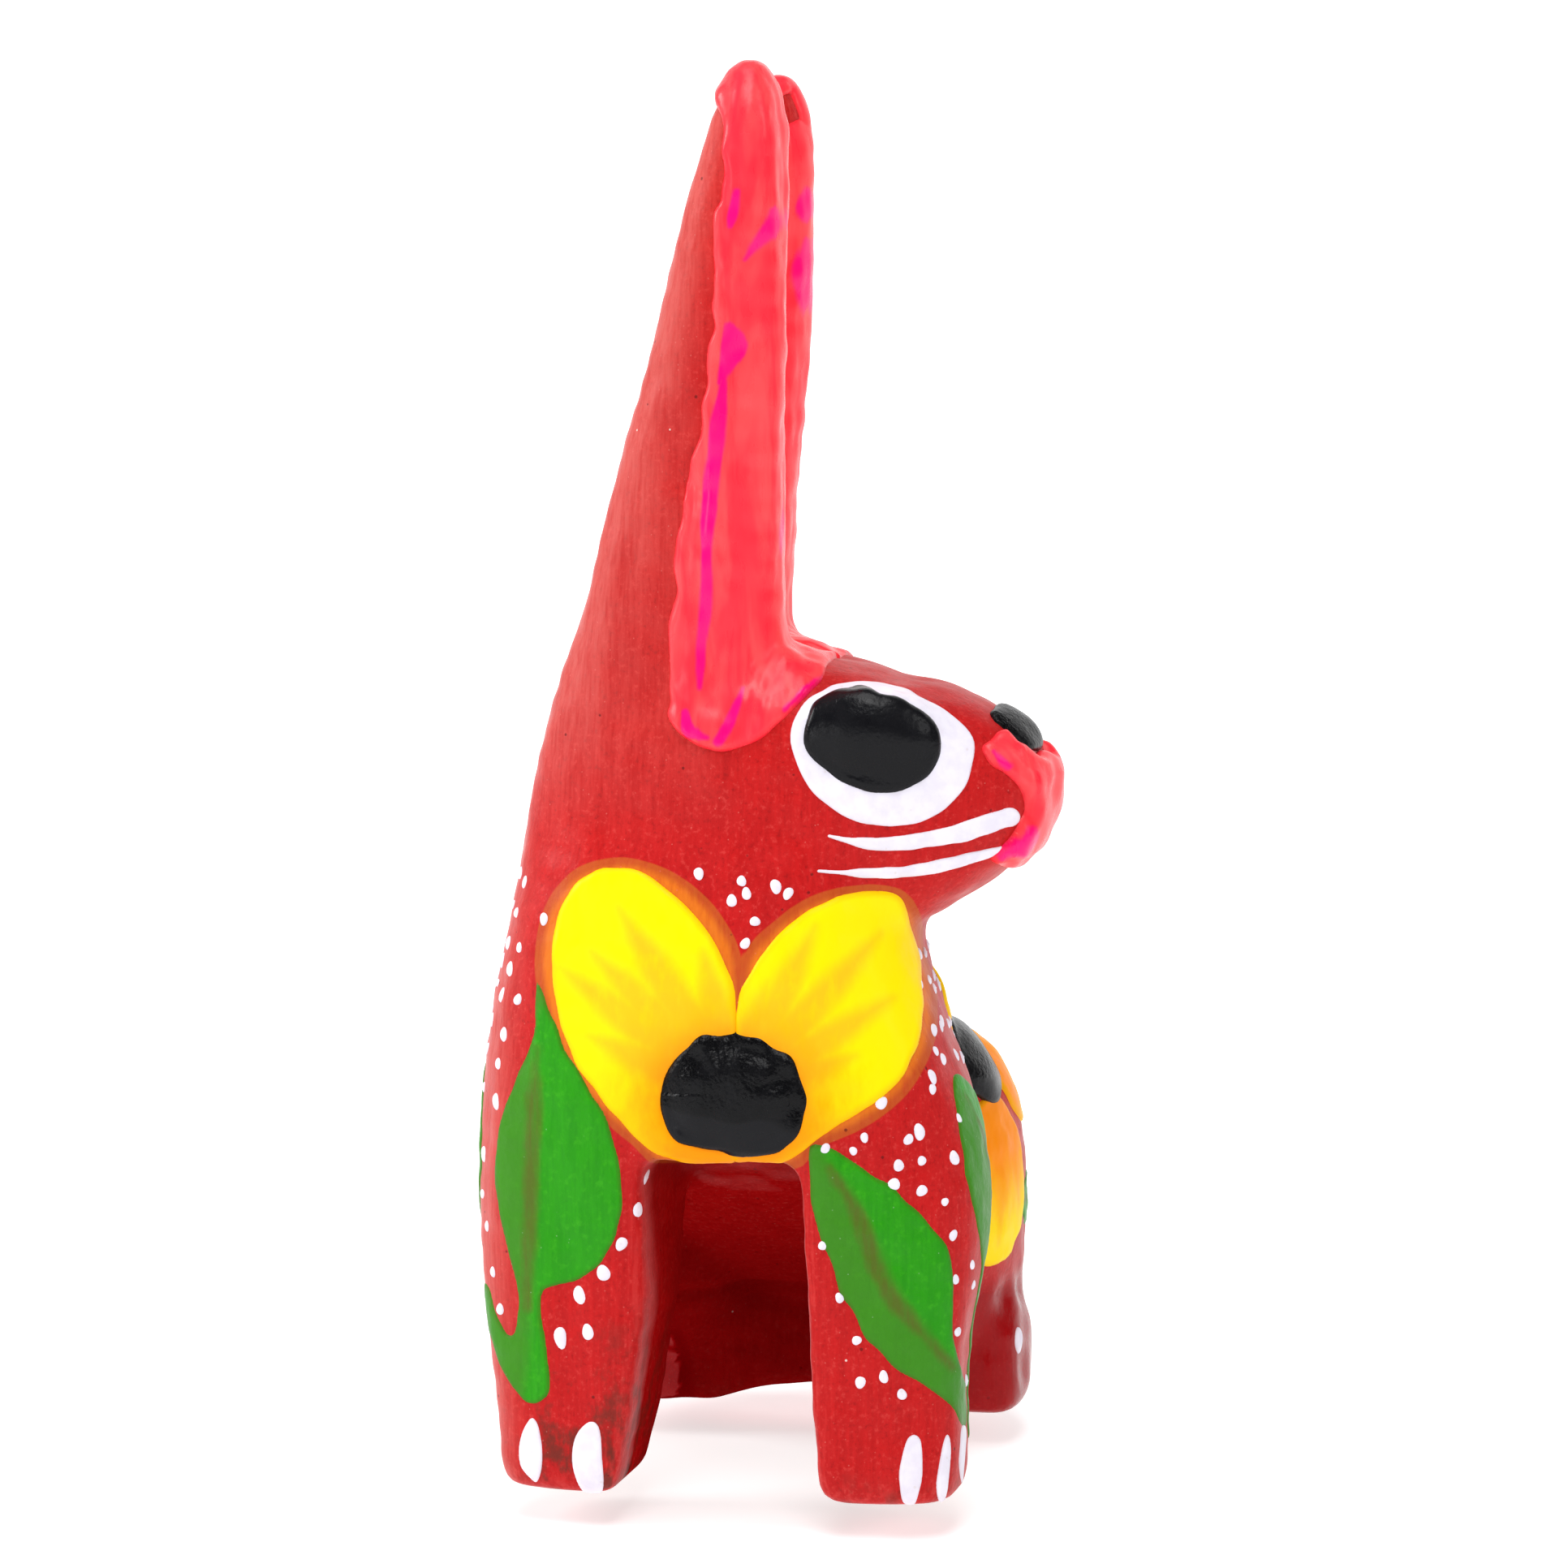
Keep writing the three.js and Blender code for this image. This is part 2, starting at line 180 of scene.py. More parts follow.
def stroke(*stations):
    """A brush stroke through stations of (u, v, width)."""
    curve = smooth_curve(stations, steps=4)

    def distance(uv):
        nearest = np.full(len(uv), 1e9)
        for start, end in zip(curve[:-1], curve[1:]):
            edge = end[:2] - start[:2]
            along = np.clip((uv - start[:2]) @ edge / max(edge @ edge, 1e-9), 0, 1)
            gap = np.linalg.norm(uv - start[:2] - along[:, None] * edge, axis=1)
            width = start[2] + (end[2] - start[2]) * along
            nearest = np.minimum(nearest, gap - width / 2)
        return nearest

    return near_only(curve, distance)


def oval(u, v, half_u, half_v):
    angles = np.arange(12) * math.tau / 12
    return outline(*(np.stack([half_u * np.cos(angles), half_v * np.sin(angles)], 1) + (u, v)))


def together(*shapes):
    return lambda uv: np.minimum.reduce([shape(uv) for shape in shapes])


def moved(shape, offset=(0, 0), turn=0.0, scale=1.0):
    """The shape, drawn about (0, 0), scaled, turned anticlockwise in degrees and moved."""
    angle = math.radians(turn)
    back = np.array([[math.cos(angle), -math.sin(angle)], [math.sin(angle), math.cos(angle)]])

    return lambda uv: shape((uv - offset) @ back / scale) * scale


# ---------------------------------------------------------------- the wooden skin

VOXEL = 0.4
BAND = 4  # how many voxels to each side of a surface its distance is worked out for
WIDE_BAND = 9
MARGIN = 5.0
GLUE_CLOSING = 0.25  # more than half the joints' clearance, so the blocks grow together
FACE_CLOSING = 1.0  # enough to fill the grooves left round the face's recesses
BODY_SOFTNESS = 0.75  # how far sanding rounds the body's edges
EAR_SOFTNESS = 0.5
JOIN_SOFTNESS = 1.5  # and the back of the head, where its shapes run into each other
CARVING_DEPTH = 0.06
HOLLOW_REACH = 2.2  # how wide a hollow or ridge the painted shade in hollows and the paint's wear on ridges follow

CREASE_HEIGHT = 11.0
CREASE_DEPTH = 0.3
CREASE_WIDTH = 0.45
FILL_SHARES = (1, 1.5, 2)

# How far each built-up paint feature is pushed in to fill the recess cut for it.
RECESS_FILL = {
    "right_pupil": (0, 1.2, 0),
    "left_pupil": (0, -1.2, 0),
    "nose_pad": (-0.7, 0, -0.9),
    "lips": (-1.6, 0, 0),
    "chest_flower_centre": (0, 1.2, 0),
    "right_flank_flower_centre": (1.1, 0, -0.4),
    "left_flank_flower_centre": (-1.1, 0, -0.4),
}


def voxel_box():
    low, high = (np.array(corner) / MM - DRAWING_ORIGIN for corner in cad_box)
    first = np.floor((low - MARGIN) / VOXEL).astype(int)
    last = np.ceil((high + MARGIN) / VOXEL).astype(int)
    return first, last - first


FIRST_VOXEL, VOXEL_COUNTS = voxel_box()
GRID_TO_MM = openvdb.createLinearTransform(voxelSize=VOXEL)


def depth_field(points, faces, band, quads=None):
    """Signed distance to a closed mesh at every voxel, negative inside, out to band voxels."""
    grid = openvdb.FloatGrid.createLevelSetFromPolygons(
        points, triangles=faces, quads=quads, transform=GRID_TO_MM, halfWidth=band
    )
    field = np.empty(VOXEL_COUNTS, np.float32)
    grid.copyToArray(field, ijk=tuple(int(i) for i in FIRST_VOXEL))
    return field


def surface_of(field, level):
    """Points and quads of a field's surface at a level."""
    grid = openvdb.FloatGrid(float(field.max()))
    grid.transform = GRID_TO_MM
    grid.gridClass = openvdb.GridClass.LEVEL_SET
    grid.copyFromArray(field, ijk=tuple(int(i) for i in FIRST_VOXEL))
    return grid.convertToQuads(isovalue=level)


def blurred(field, reach):
    """The field averaged over a bell curve of the given reach in millimetres."""
    radius = int(3 * reach / VOXEL) + 1
    weights = np.exp(-0.5 * (np.arange(-radius, radius + 1) * VOXEL / reach) ** 2)
    weights = (weights / weights.sum()).astype(np.float32)
    for axis in range(3):
        padding = [(radius, radius) if k == axis else (0, 0) for k in range(3)]
        padded = np.moveaxis(np.pad(field, padding, mode="edge"), axis, 0)
        count = field.shape[axis]
        total = sum(weight * padded[i : i + count] for i, weight in enumerate(weights))
        field = np.ascontiguousarray(np.moveaxis(total, 0, axis))
    return field


def sampled(field, points):
    """A field's value at points, by trilinear interpolation."""
    place = points / VOXEL - FIRST_VOXEL
    base = np.clip(np.floor(place).astype(int), 0, np.array(field.shape) - 2)
    part = place - base
    total = 0
    for corner in np.ndindex(2, 2, 2):
        weight = np.prod(np.where(corner, part, 1 - part), axis=1)
        total = total + weight * field[tuple((base + corner).T)]
    return total


def hind_feet(points):
    """1 on the hind feet, whose paint is thicker and glossier, and 0 elsewhere."""
    x, y, z = points.T
    return ramp(np.abs(x - BODY_MIDDLE_X), 8.6, 9.6) * ramp(y, 6, 9) * ramp(z, 13, 10.5)


def belly_crease(points):
    """Depth of the saw line where the belly ends and the hind end begins, seen between the forelegs."""
    x, y, z = points.T
    inside = ramp(np.abs(x - BODY_MIDDLE_X), 11, 9.5) * ramp(y, -3, 0) * ramp(y, 16, 13)
    return CREASE_DEPTH * inside * np.exp(-(((z - CREASE_HEIGHT) / CREASE_WIDTH) ** 2))


class Skin:
    """The joined wood: points, triangles, vertex normals, and which block each triangle belongs to."""

    def __init__(self):
        joined = np.full(VOXEL_COUNTS, 1e3, np.float32)
        owner = np.zeros(VOXEL_COUNTS, np.uint8)
        for index, node in enumerate(WOOD):
            field = depth_field(*cad_mesh(node), band=BAND)
            owner[field < joined] = index
            joined = np.minimum(joined, field)
        for node in PEGS:
            joined = np.minimum(joined, depth_field(*cad_mesh(node), band=BAND))
        for node, push in RECESS_FILL.items():
            points, faces = cad_mesh(node)
            for share in FILL_SHARES:
                sunk = points + np.float32(push) * np.float32(share)
                joined = np.minimum(joined, depth_field(sunk, faces, band=BAND))
        points, quads = surface_of(joined, GLUE_CLOSING)
        whole = depth_field(points, None, band=WIDE_BAND, quads=quads) + GLUE_CLOSING

        heights = (FIRST_VOXEL[2] + np.arange(VOXEL_COUNTS[2])) * VOXEL
        forward = ((FIRST_VOXEL[0] + np.arange(VOXEL_COUNTS[0])) * VOXEL)[:, None, None]
        points, quads = surface_of(joined, FACE_CLOSING)
        closed = depth_field(points, None, band=WIDE_BAND, quads=quads) + FACE_CLOSING
        in_face = (ramp(forward, 3, 6) * ramp(heights, 51, 54) * ramp(heights, 72, 69)).astype(np.float32)
        whole = whole * (1 - in_face) + closed * in_face
        in_neck = ramp(heights, 38, 46) * ramp(heights, 76, 68) * (0.25 + 0.75 * ramp(forward, 6, 0))
        in_ears = ramp(heights, 68, 76) * np.ones_like(in_neck)
        smooth = blurred(whole, BODY_SOFTNESS) * (1 - in_neck - in_ears).astype(np.float32)
        smooth += blurred(whole, JOIN_SOFTNESS) * in_neck.astype(np.float32)
        smooth += blurred(whole, EAR_SOFTNESS) * in_ears.astype(np.float32)
        points, quads = surface_of(smooth, 0.0)
        points = points.astype(float)
        faces = np.concatenate([quads[:, [0, 1, 2]], quads[:, [0, 2, 3]]]).astype(int)
        corners = points[faces]
        if (corners[:, 0] * np.cross(corners[:, 1], corners[:, 2])).sum() < 0:
            faces = faces[:, ::-1]
        normals = vertex_normals(points, faces)
        above_ground = ramp(points[:, 2], 0.5, 4)
        knife = ripple(points, 7, seed=3, stretch=(1, 1, 1.8)) + 0.5 * ripple(points, 3, seed=4)
        in_feet = hind_feet(points)
        carved = CARVING_DEPTH * knife + 0.12 * in_feet * ripple(points, 4, seed=6, stretch=(1, 1, 7))
        points += normals * (carved * above_ground - belly_crease(points))[:, None]

        self.points = points
        self.faces = faces
        self.normals = vertex_normals(points, faces)
        self.hollow = sampled(blurred(whole, HOLLOW_REACH), points)
        centres = points[faces].mean(1)
        nearest = np.clip(np.rint(centres / VOXEL - FIRST_VOXEL).astype(int), 0, VOXEL_COUNTS - 1)
        self.owner = owner[tuple(nearest.T)]
        self.tree = BVHTree.FromPolygons(points.tolist(), faces.tolist())


skin = Skin()

# ---------------------------------------------------------------- meshes


def new_piece(name, points, faces, material, slot, normals=None, replaces=(), **attributes):
    """A mesh object from drawing coordinates, riding on the figure's one body."""
    used, flat = np.unique(faces, return_inverse=True)
    mesh = bpy.data.meshes.new(name)
    placed = (points[used] + DRAWING_ORIGIN) * MM
    mesh.from_pydata(placed.tolist(), [], flat.reshape(faces.shape).tolist())
    for key, values in attributes.items():
        kind = "FLOAT" if values.ndim == 1 else "FLOAT_VECTOR"
        data = mesh.attributes.new(key, kind, "POINT").data
        data.foreach_set("value" if values.ndim == 1 else "vector", values[used].astype(np.float32).ravel())
    mesh.shade_smooth()
    if normals is not None:
        mesh.normals_split_custom_set_from_vertices(normals[used].tolist())
    mesh.materials.append(material)
    piece = bpy.data.objects.new(name, mesh)
    bpy.context.scene.collection.objects.link(piece)
    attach(piece, "root")
    if replaces:
        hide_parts(*replaces)
    return piece


def refined(points, normals, faces):
    """Each triangle cut into four, with the new points lifted onto the surface the normals imply."""
    edges = np.sort(np.concatenate([faces[:, [0, 1]], faces[:, [1, 2]], faces[:, [2, 0]]]), axis=1)
    pairs, index = np.unique(edges, axis=0, return_inverse=True)
    index = index.reshape(-1)
    a, b = points[pairs[:, 0]], points[pairs[:, 1]]
    normal_a, normal_b = normals[pairs[:, 0]], normals[pairs[:, 1]]
    half = (b - a) / 2
    rise_a = -(half * normal_a).sum(1, keepdims=True) * normal_a
    rise_b = (half * normal_b).sum(1, keepdims=True) * normal_b
    mids = (a + b) / 2 + 0.25 * (rise_a + rise_b)
    ab, bc, ca = index.reshape(3, -1) + len(points)
    i, j, k = faces.T
    split = np.concatenate([np.stack(t, 1) for t in ((i, ab, ca), (ab, j, bc), (ca, bc, k), (ab, bc, ca))])
    return np.concatenate([points, mids]), np.concatenate([normals, unit(normal_a + normal_b)]), split


def clipped(points, normals, faces, distance):
    """The part of a surface where distance is negative, cut cleanly along distance 0."""
    inside = distance < 0
    count = inside[faces].sum(1)
    cut = faces[(count == 1) | (count == 2)]
    lone_inside = inside[cut].sum(1) == 1
    first = (inside[cut] == lone_inside[:, None]).argmax(1)
    cut = cut[np.arange(len(cut))[:, None], (first[:, None] + np.arange(3)) % 3]
    edges = np.sort(np.concatenate([cut[:, [0, 1]], cut[:, [0, 2]]]), axis=1)
    pairs, index = np.unique(edges, axis=0, return_inverse=True)
    start, end = pairs.T
    share = (distance[start] / (distance[start] - distance[end]))[:, None]
    points = np.concatenate([points, points[start] * (1 - share) + points[end] * share])
    normals = np.concatenate([normals, unit(normals[start] * (1 - share) + normals[end] * share)])
    distance = np.concatenate([distance, np.zeros(len(pairs))])
    ab, ac = index.reshape(2, -1) + len(inside)
    a, b, c = cut.T
    corner = np.stack([a, ab, ac], 1)[lone_inside]
    rest = ~lone_inside
    wide = np.concatenate([np.stack([ab, b, c], 1)[rest], np.stack([ab, c, ac], 1)[rest]])
    return points, normals, np.concatenate([faces[count == 3], corner, wide]), distance


class Plane:
    """A plane to draw on, with u and v along it. Drawings are carried to the skin against toward."""

    def __init__(self, u, v, toward, through=(0, 0, 0), within=None, facing=0.10):
        self.axes = np.array([u, v], float)
        self.toward = unit(np.array(toward, float))
        self.through = np.array(through, float)
        self.normal = np.cross(*self.axes)
        self.within = within
        self.facing = facing  # how squarely the skin must face the plane to be painted

    def flat(self, points):
        away = (points - self.through) @ self.normal / (self.toward @ self.normal)
        return (points - away[:, None] * self.toward) @ self.axes.T

    def distance(self, shape, points, normals):
        result = (self.facing - normals @ self.toward) * 5
        if self.within:
            result = np.maximum(result, self.within(points))
        facing = result < FAR
        result[facing] = np.maximum(result[facing], shape(self.flat(points[facing])))
        return result


# The chest is painted as it is looked at, from a little to the animal's left and above.
FRONT = Plane((1, 0, 0), (0, 0, 1), (0.207, -0.973, 0.105), through=(0, -26, 0),
              within=lambda p: p[:, 1] + 4)
FRONT_OF_HIND_FEET = Plane((1, 0, 0), (0, 0, 1), FRONT.toward, through=FRONT.through,
                           within=lambda p: 2 - p[:, 1])
RIGHT_FLANK = Plane((0, 1, 0), (0, 0, 1), (-1, 0, 0), within=lambda p: p[:, 0] + 9)
LEFT_FLANK = Plane((0, 1, 0), (0, 0, 1), (1, 0, 0), within=lambda p: np.maximum(9 - p[:, 0], p[:, 2] - 46))
RIGHT_CHEEK = Plane((1, 0, 0), (0, 0, 1), (0, -1, 0),
                    within=lambda p: np.maximum(46 - p[:, 2], p[:, 1] + 13))
LEFT_CHEEK = Plane((1, 0, 0), (0, 0, 1), (0, 1, 0),
                   within=lambda p: np.maximum(46 - p[:, 2], -13 - p[:, 1]))
BACK = Plane((-1, 0, 0), (0, 0, 1), (0, 0.8, 0.6), through=(0, 15, 0), within=lambda p: -2 - p[:, 1])

SUNK = 0.03  # how far a film's edge sits under the wood's surface


FILM_MARGIN = 1.2  # how far past its edge a film's skin is looked at


def film(name, distance_of, material, slot, thickness, edge, grain=0.0, wobble=0.03, levels=1, crown=0.0,
         crown_reach=3.0, ridges=None, marks=None, bright=None, replaces=()):
    """A raised film of paint over the part of the skin where distance_of(points, normals) is negative.

    The film rises to its thickness over edge, and by crown more over crown_reach. grain roughens its
    top, wobble its outline. marks(points) and bright(points) give distances that the material draws
    finer strokes and brighter parts from.
    """
    reach = distance_of(skin.points, skin.normals) < FILM_MARGIN
    faces = skin.faces[reach[skin.faces].all(1)]
    points, normals = skin.points, skin.normals
    for _ in range(levels):
        used, flat = np.unique(faces, return_inverse=True)
        points, normals, faces = refined(points[used], normals[used], flat.reshape(faces.shape))
    distance = distance_of(points, normals) + wobble * ripple(points, 2.6, 1)
    points, normals, faces, distance = clipped(points, normals, faces, distance)
    depth = np.maximum(-distance, 0)
    rise = np.sqrt(1 - (1 - np.clip(depth / edge, 0, 1)) ** 2)
    height = thickness * rise + crown * (1 - (1 - np.clip(depth / crown_reach, 0, 1)) ** 2)
    height += grain * rise * (ripple(points, 1.1, 2, (1, 1, 2.5)) + 0.6 * ripple(points, 0.5, 3))
    if ridges:
        height += ridges(points) * rise
    extra = {key: shape(points) for key, shape in (("mark", marks), ("bright", bright)) if shape}
    return new_piece(name, points + normals * (height - SUNK)[:, None], faces, material, slot,
                     replaces=replaces, depth=depth, **extra)


# ---------------------------------------------------------------- materials


class Paint:
    """A node material under construction. Sockets and plain values mix freely in its helpers."""

    def __init__(self, name, roughness=0.5):
        self.material = bpy.data.materials.new(name)
        self.material.use_nodes = True
        self.nodes = self.material.node_tree.nodes
        self.links = self.material.node_tree.links
        self.shader = self.nodes["Principled BSDF"]
        self.shader.inputs["Roughness"].default_value = roughness
        self.place = self.nodes.new("ShaderNodeTexCoord").outputs["Object"]

    def feed(self, socket, value):
        if isinstance(value, bpy.types.NodeSocket):
            self.links.new(value, socket)
        elif isinstance(value, tuple) and len(value) == 3 and len(socket.default_value) == 4:
            socket.default_value = (*value, 1)
        else:
            socket.default_value = value

    def math(self, operation, a, b=0.0, clamp=False):
        node = self.nodes.new("ShaderNodeMath")
        node.operation, node.use_clamp = operation, clamp
        self.feed(node.inputs[0], a)
        self.feed(node.inputs[1], b)
        return node.outputs[0]

    def stretched(self, x, y, z):
        """Object coordinates in cells per metre along each axis."""
        node = self.nodes.new("ShaderNodeMapping")
        node.inputs["Scale"].default_value = (x, y, z)
        self.links.new(self.place, node.inputs["Vector"])
        return node.outputs[0]

    def noise(self, vector, detail=3.0, roughness=0.55, distortion=0.0):
        node = self.nodes.new("ShaderNodeTexNoise")
        node.inputs["Scale"].default_value = 1
        node.inputs["Detail"].default_value = detail
        node.inputs["Roughness"].default_value = roughness
        node.inputs["Distortion"].default_value = distortion
        self.links.new(vector, node.inputs["Vector"])
        return node.outputs[0]

    def cells(self, vector, feature="F1"):
        node = self.nodes.new("ShaderNodeTexVoronoi")
        node.feature = feature
        node.inputs["Scale"].default_value = 1
        self.links.new(vector, node.inputs["Vector"])
        return node.outputs["Distance"]

    def step(self, value, low, high, bottom=0.0, top=1.0):
        """A smooth rise from bottom to top as value goes from low to high."""
        node = self.nodes.new("ShaderNodeMapRange")
        node.interpolation_type = "SMOOTHSTEP"
        self.feed(node.inputs["Value"], value)
        for key, setting in (("From Min", low), ("From Max", high), ("To Min", bottom), ("To Max", top)):
            node.inputs[key].default_value = setting
        return node.outputs[0]

    def mix(self, share, a, b):
        node = self.nodes.new("ShaderNodeMix")
        node.data_type = "RGBA"
        self.feed(node.inputs["Factor"], share)
        self.feed(node.inputs[6], a)
        self.feed(node.inputs[7], b)
        return node.outputs[2]

    def attribute(self, name):
        node = self.nodes.new("ShaderNodeAttribute")
        node.attribute_name = name
        return node.outputs["Fac"]

    def bump(self, height, strength, distance):
        node = self.nodes.new("ShaderNodeBump")
        node.inputs["Strength"].default_value = strength
        node.inputs["Distance"].default_value = distance
        self.links.new(height, node.inputs["Height"])
        if self.shader.inputs["Normal"].is_linked:
            self.links.new(self.shader.inputs["Normal"].links[0].from_socket, node.inputs["Normal"])
        self.links.new(node.outputs[0], self.shader.inputs["Normal"])

    def set(self, **values):
        for key, value in values.items():
            self.feed(self.shader.inputs[key.replace("_", " ")], value)
        return self.material


def grain(paint):
    """Upright wood grain and brush drag, as a value round 0.5."""
    fine = paint.noise(paint.stretched(3200, 3200, 260), detail=4)
    coarse = paint.noise(paint.stretched(900, 900, 90), detail=2)
    return paint.math("ADD", paint.math("MULTIPLY", fine, 0.6), paint.math("MULTIPLY", coarse, 0.4))


def speckle(paint, spacing, size):
    """1 in sparse small round spots, spacing metres apart on average."""
    vector = paint.stretched(1 / spacing, 1 / spacing, 1 / spacing)
    return paint.step(paint.cells(vector), size, size * 0.55)


def red_wood_paint():
    paint = Paint("red_paint_on_wood")
    streaks = grain(paint)
    cloud = paint.noise(paint.stretched(140, 140, 70), detail=3)
    hollow = paint.attribute("hollow")
    colour = paint.mix(paint.step(streaks, 0.34, 0.66), (0.44, 0.0045, 0.0050), (0.53, 0.0075, 0.0080))
    colour = paint.mix(paint.step(cloud, 0.42, 0.70, top=0.35), colour, (0.40, 0.0040, 0.0060))
    sandy = paint.noise(paint.stretched(2300, 2300, 2300), detail=4, roughness=0.65)
    colour = paint.mix(paint.step(sandy, 0.52, 0.72, top=0.55), colour, (0.62, 0.045, 0.040))
    colour = paint.mix(paint.step(sandy, 0.46, 0.28, top=0.55), colour, (0.25, 0.0015, 0.0025))
    # Painted sheen: a pinkish light haze, streaked along the grain, on the sides that face the left lamp.
    chalk = paint.math("MULTIPLY", paint.attribute("chalk"), paint.step(streaks, 0.30, 0.66, 0.35, 0.8))
    colour = paint.mix(chalk, colour, (0.56, 0.105, 0.090))
    worn = paint.math("MULTIPLY", paint.step(hollow, 0.42, 1.1), paint.step(streaks, 0.45, 0.62))
    colour = paint.mix(paint.math("MULTIPLY", worn, 0.30), colour, (0.58, 0.07, 0.06))
    # Painted shade: hollows are darkened toward a deep red.
    colour = paint.mix(paint.step(hollow, -0.15, -0.9, top=0.6), colour, (0.14, 0.001, 0.002))
    dirt = paint.noise(paint.stretched(420, 420, 260), detail=5, roughness=0.65)
    smudge = paint.math("MULTIPLY", paint.step(dirt, 0.47, 0.64, top=0.8), paint.attribute("soil"))
    colour = paint.mix(smudge, colour, (0.10, 0.020, 0.012))
    glaze = paint.math("ADD", paint.attribute("wash"), paint.math("MULTIPLY", cloud, 0.5))
    thin = paint.math("MULTIPLY", paint.step(glaze, 0.36, 0.20), paint.step(streaks, 0.25, 0.60, 0.60, 1.0))
    amber = paint.mix(paint.step(paint.attribute("wash"), -0.3, -1.1), (0.47, 0.090, 0.010),
                      (0.74, 0.20, 0.008))
    colour = paint.mix(paint.math("MULTIPLY", thin, 0.8), colour, amber)
    pits = speckle(paint, 0.0023, 0.075)
    colour = paint.mix(paint.math("MULTIPLY", pits, 0.7), colour, (0.08, 0.002, 0.002))
    # Painted glints: tiny pinkish-light specks over the red.
    glint_specks = speckle(paint, 0.00090, 0.09)
    colour = paint.mix(paint.math("MULTIPLY", glint_specks, 0.30), colour, (0.66, 0.20, 0.17))
    lint = speckle(paint, 0.0047, 0.03)
    colour = paint.mix(paint.math("MULTIPLY", lint, 0.8), colour, (0.80, 0.66, 0.60))
    glossy = paint.attribute("gloss")
    colour = paint.mix(paint.math("MULTIPLY", glossy, 0.75), colour, (0.26, 0.0010, 0.0030))
    matt = paint.math("SUBTRACT", 1.0, glossy)
    paint.bump(paint.math("MULTIPLY", streaks, matt), 0.26, 0.00010)
    paint.bump(sandy, 0.34, 0.00010)
    paint.bump(paint.math("SUBTRACT", 1.0, pits), 0.4, 0.00008)
    rough = paint.step(paint.noise(paint.stretched(500, 500, 180), detail=4), 0.3, 0.7, 0.40, 0.54)
    rough = paint.math("SUBTRACT", rough, paint.math("MULTIPLY", glossy, 0.26))
    # Painted shade: inside the arch between the forelegs the red is darkened, and its shine and sheen are
    # taken away.
    inside = paint.attribute("inside")
    shine = paint.math("SUBTRACT", 0.14, paint.math("MULTIPLY", inside, 0.28), clamp=True)
    haze = paint.math("SUBTRACT", matt, paint.math("MULTIPLY", inside, 2.2), clamp=True)
    paint.set(Roughness=rough, Specular_IOR_Level=shine, Sheen_Weight=paint.math("MULTIPLY", haze, 0.12),
              Sheen_Roughness=0.35)
    return paint.set(Base_Color=paint.mix(paint.math("MULTIPLY", inside, 0.8), colour,
                                          (0.10, 0.0002, 0.0006)))


def yellow_paint():
    paint = Paint("yellow_petal_paint")
    streaks = paint.noise(paint.stretched(1100, 1100, 450), detail=4)
    drag = paint.math("MULTIPLY", paint.math("SUBTRACT", streaks, 0.5), 0.7)
    edge = paint.math("ADD", paint.attribute("mark"), drag)
    flame = paint.math("MULTIPLY", paint.step(edge, 0.80, -0.80),
                       paint.step(streaks, 0.25, 0.55, 0.55, 0.85))
    colour = paint.mix(flame, (1.0, 0.74, 0.0003), (1.0, 0.47, 0.010))
    deep = paint.math("ADD", paint.attribute("heart"), paint.math("MULTIPLY", drag, 5.0))
    colour = paint.mix(paint.step(deep, 13.0, 4.5, top=0.9), colour, (1.0, 0.25, 0.001))
    rim = paint.step(paint.attribute("depth"), 0.7, 0.05)
    colour = paint.mix(paint.math("MULTIPLY", rim, 0.6), colour, (0.86, 0.46, 0.0))
    paint.bump(paint.noise(paint.stretched(1500, 1500, 700), detail=3), 0.16, 0.00008)
    paint.set(Roughness=paint.step(streaks, 0.3, 0.7, 0.34, 0.50), Specular_IOR_Level=0.08)
    return paint.set(Base_Color=colour)


def green_paint():
    paint = Paint("green_leaf_paint")
    streaks = grain(paint)
    thin = paint.noise(paint.stretched(520, 520, 300), detail=4)
    drag = paint.math("MULTIPLY", paint.math("SUBTRACT", thin, 0.5), 1.5)
    colour = paint.mix(paint.step(streaks, 0.34, 0.66, 0.25, 0.75), (0.010, 0.225, 0.0005),
                       (0.022, 0.315, 0.001))
    mottle = paint.noise(paint.stretched(1500, 1500, 1500), detail=4, roughness=0.65)
    colour = paint.mix(paint.step(mottle, 0.50, 0.72, top=0.45), colour, (0.045, 0.40, 0.006))
    shade = paint.step(paint.math("ADD", paint.attribute("bright"), drag), -0.5, 0.7, top=0.7)
    colour = paint.mix(shade, colour, (0.050, 0.20, 0.010))
    vein = paint.step(paint.math("ADD", paint.attribute("mark"), drag), 0.50, -0.35)
    vein = paint.math("MULTIPLY", vein, paint.step(streaks, 0.30, 0.60, 0.35, 0.70))
    colour = paint.mix(vein, colour, (0.100, 0.085, 0.010))
    rim = paint.step(paint.attribute("depth"), 0.45, 0.02)
    colour = paint.mix(paint.math("MULTIPLY", rim, 0.5), colour, (0.06, 0.12, 0.005))
    # Painted glints: tiny pale specks over the green.
    glint_specks = speckle(paint, 0.0011, 0.06)
    colour = paint.mix(paint.math("MULTIPLY", glint_specks, 0.35), colour, (0.45, 0.65, 0.40))
    paint.bump(streaks, 0.10, 0.00010)
    paint.bump(paint.noise(paint.stretched(2300, 2300, 2300), detail=4), 0.45, 0.00012)
    paint.set(Roughness=paint.step(thin, 0.3, 0.7, 0.36, 0.54), Specular_IOR_Level=0.16)
    return paint.set(Base_Color=colour)


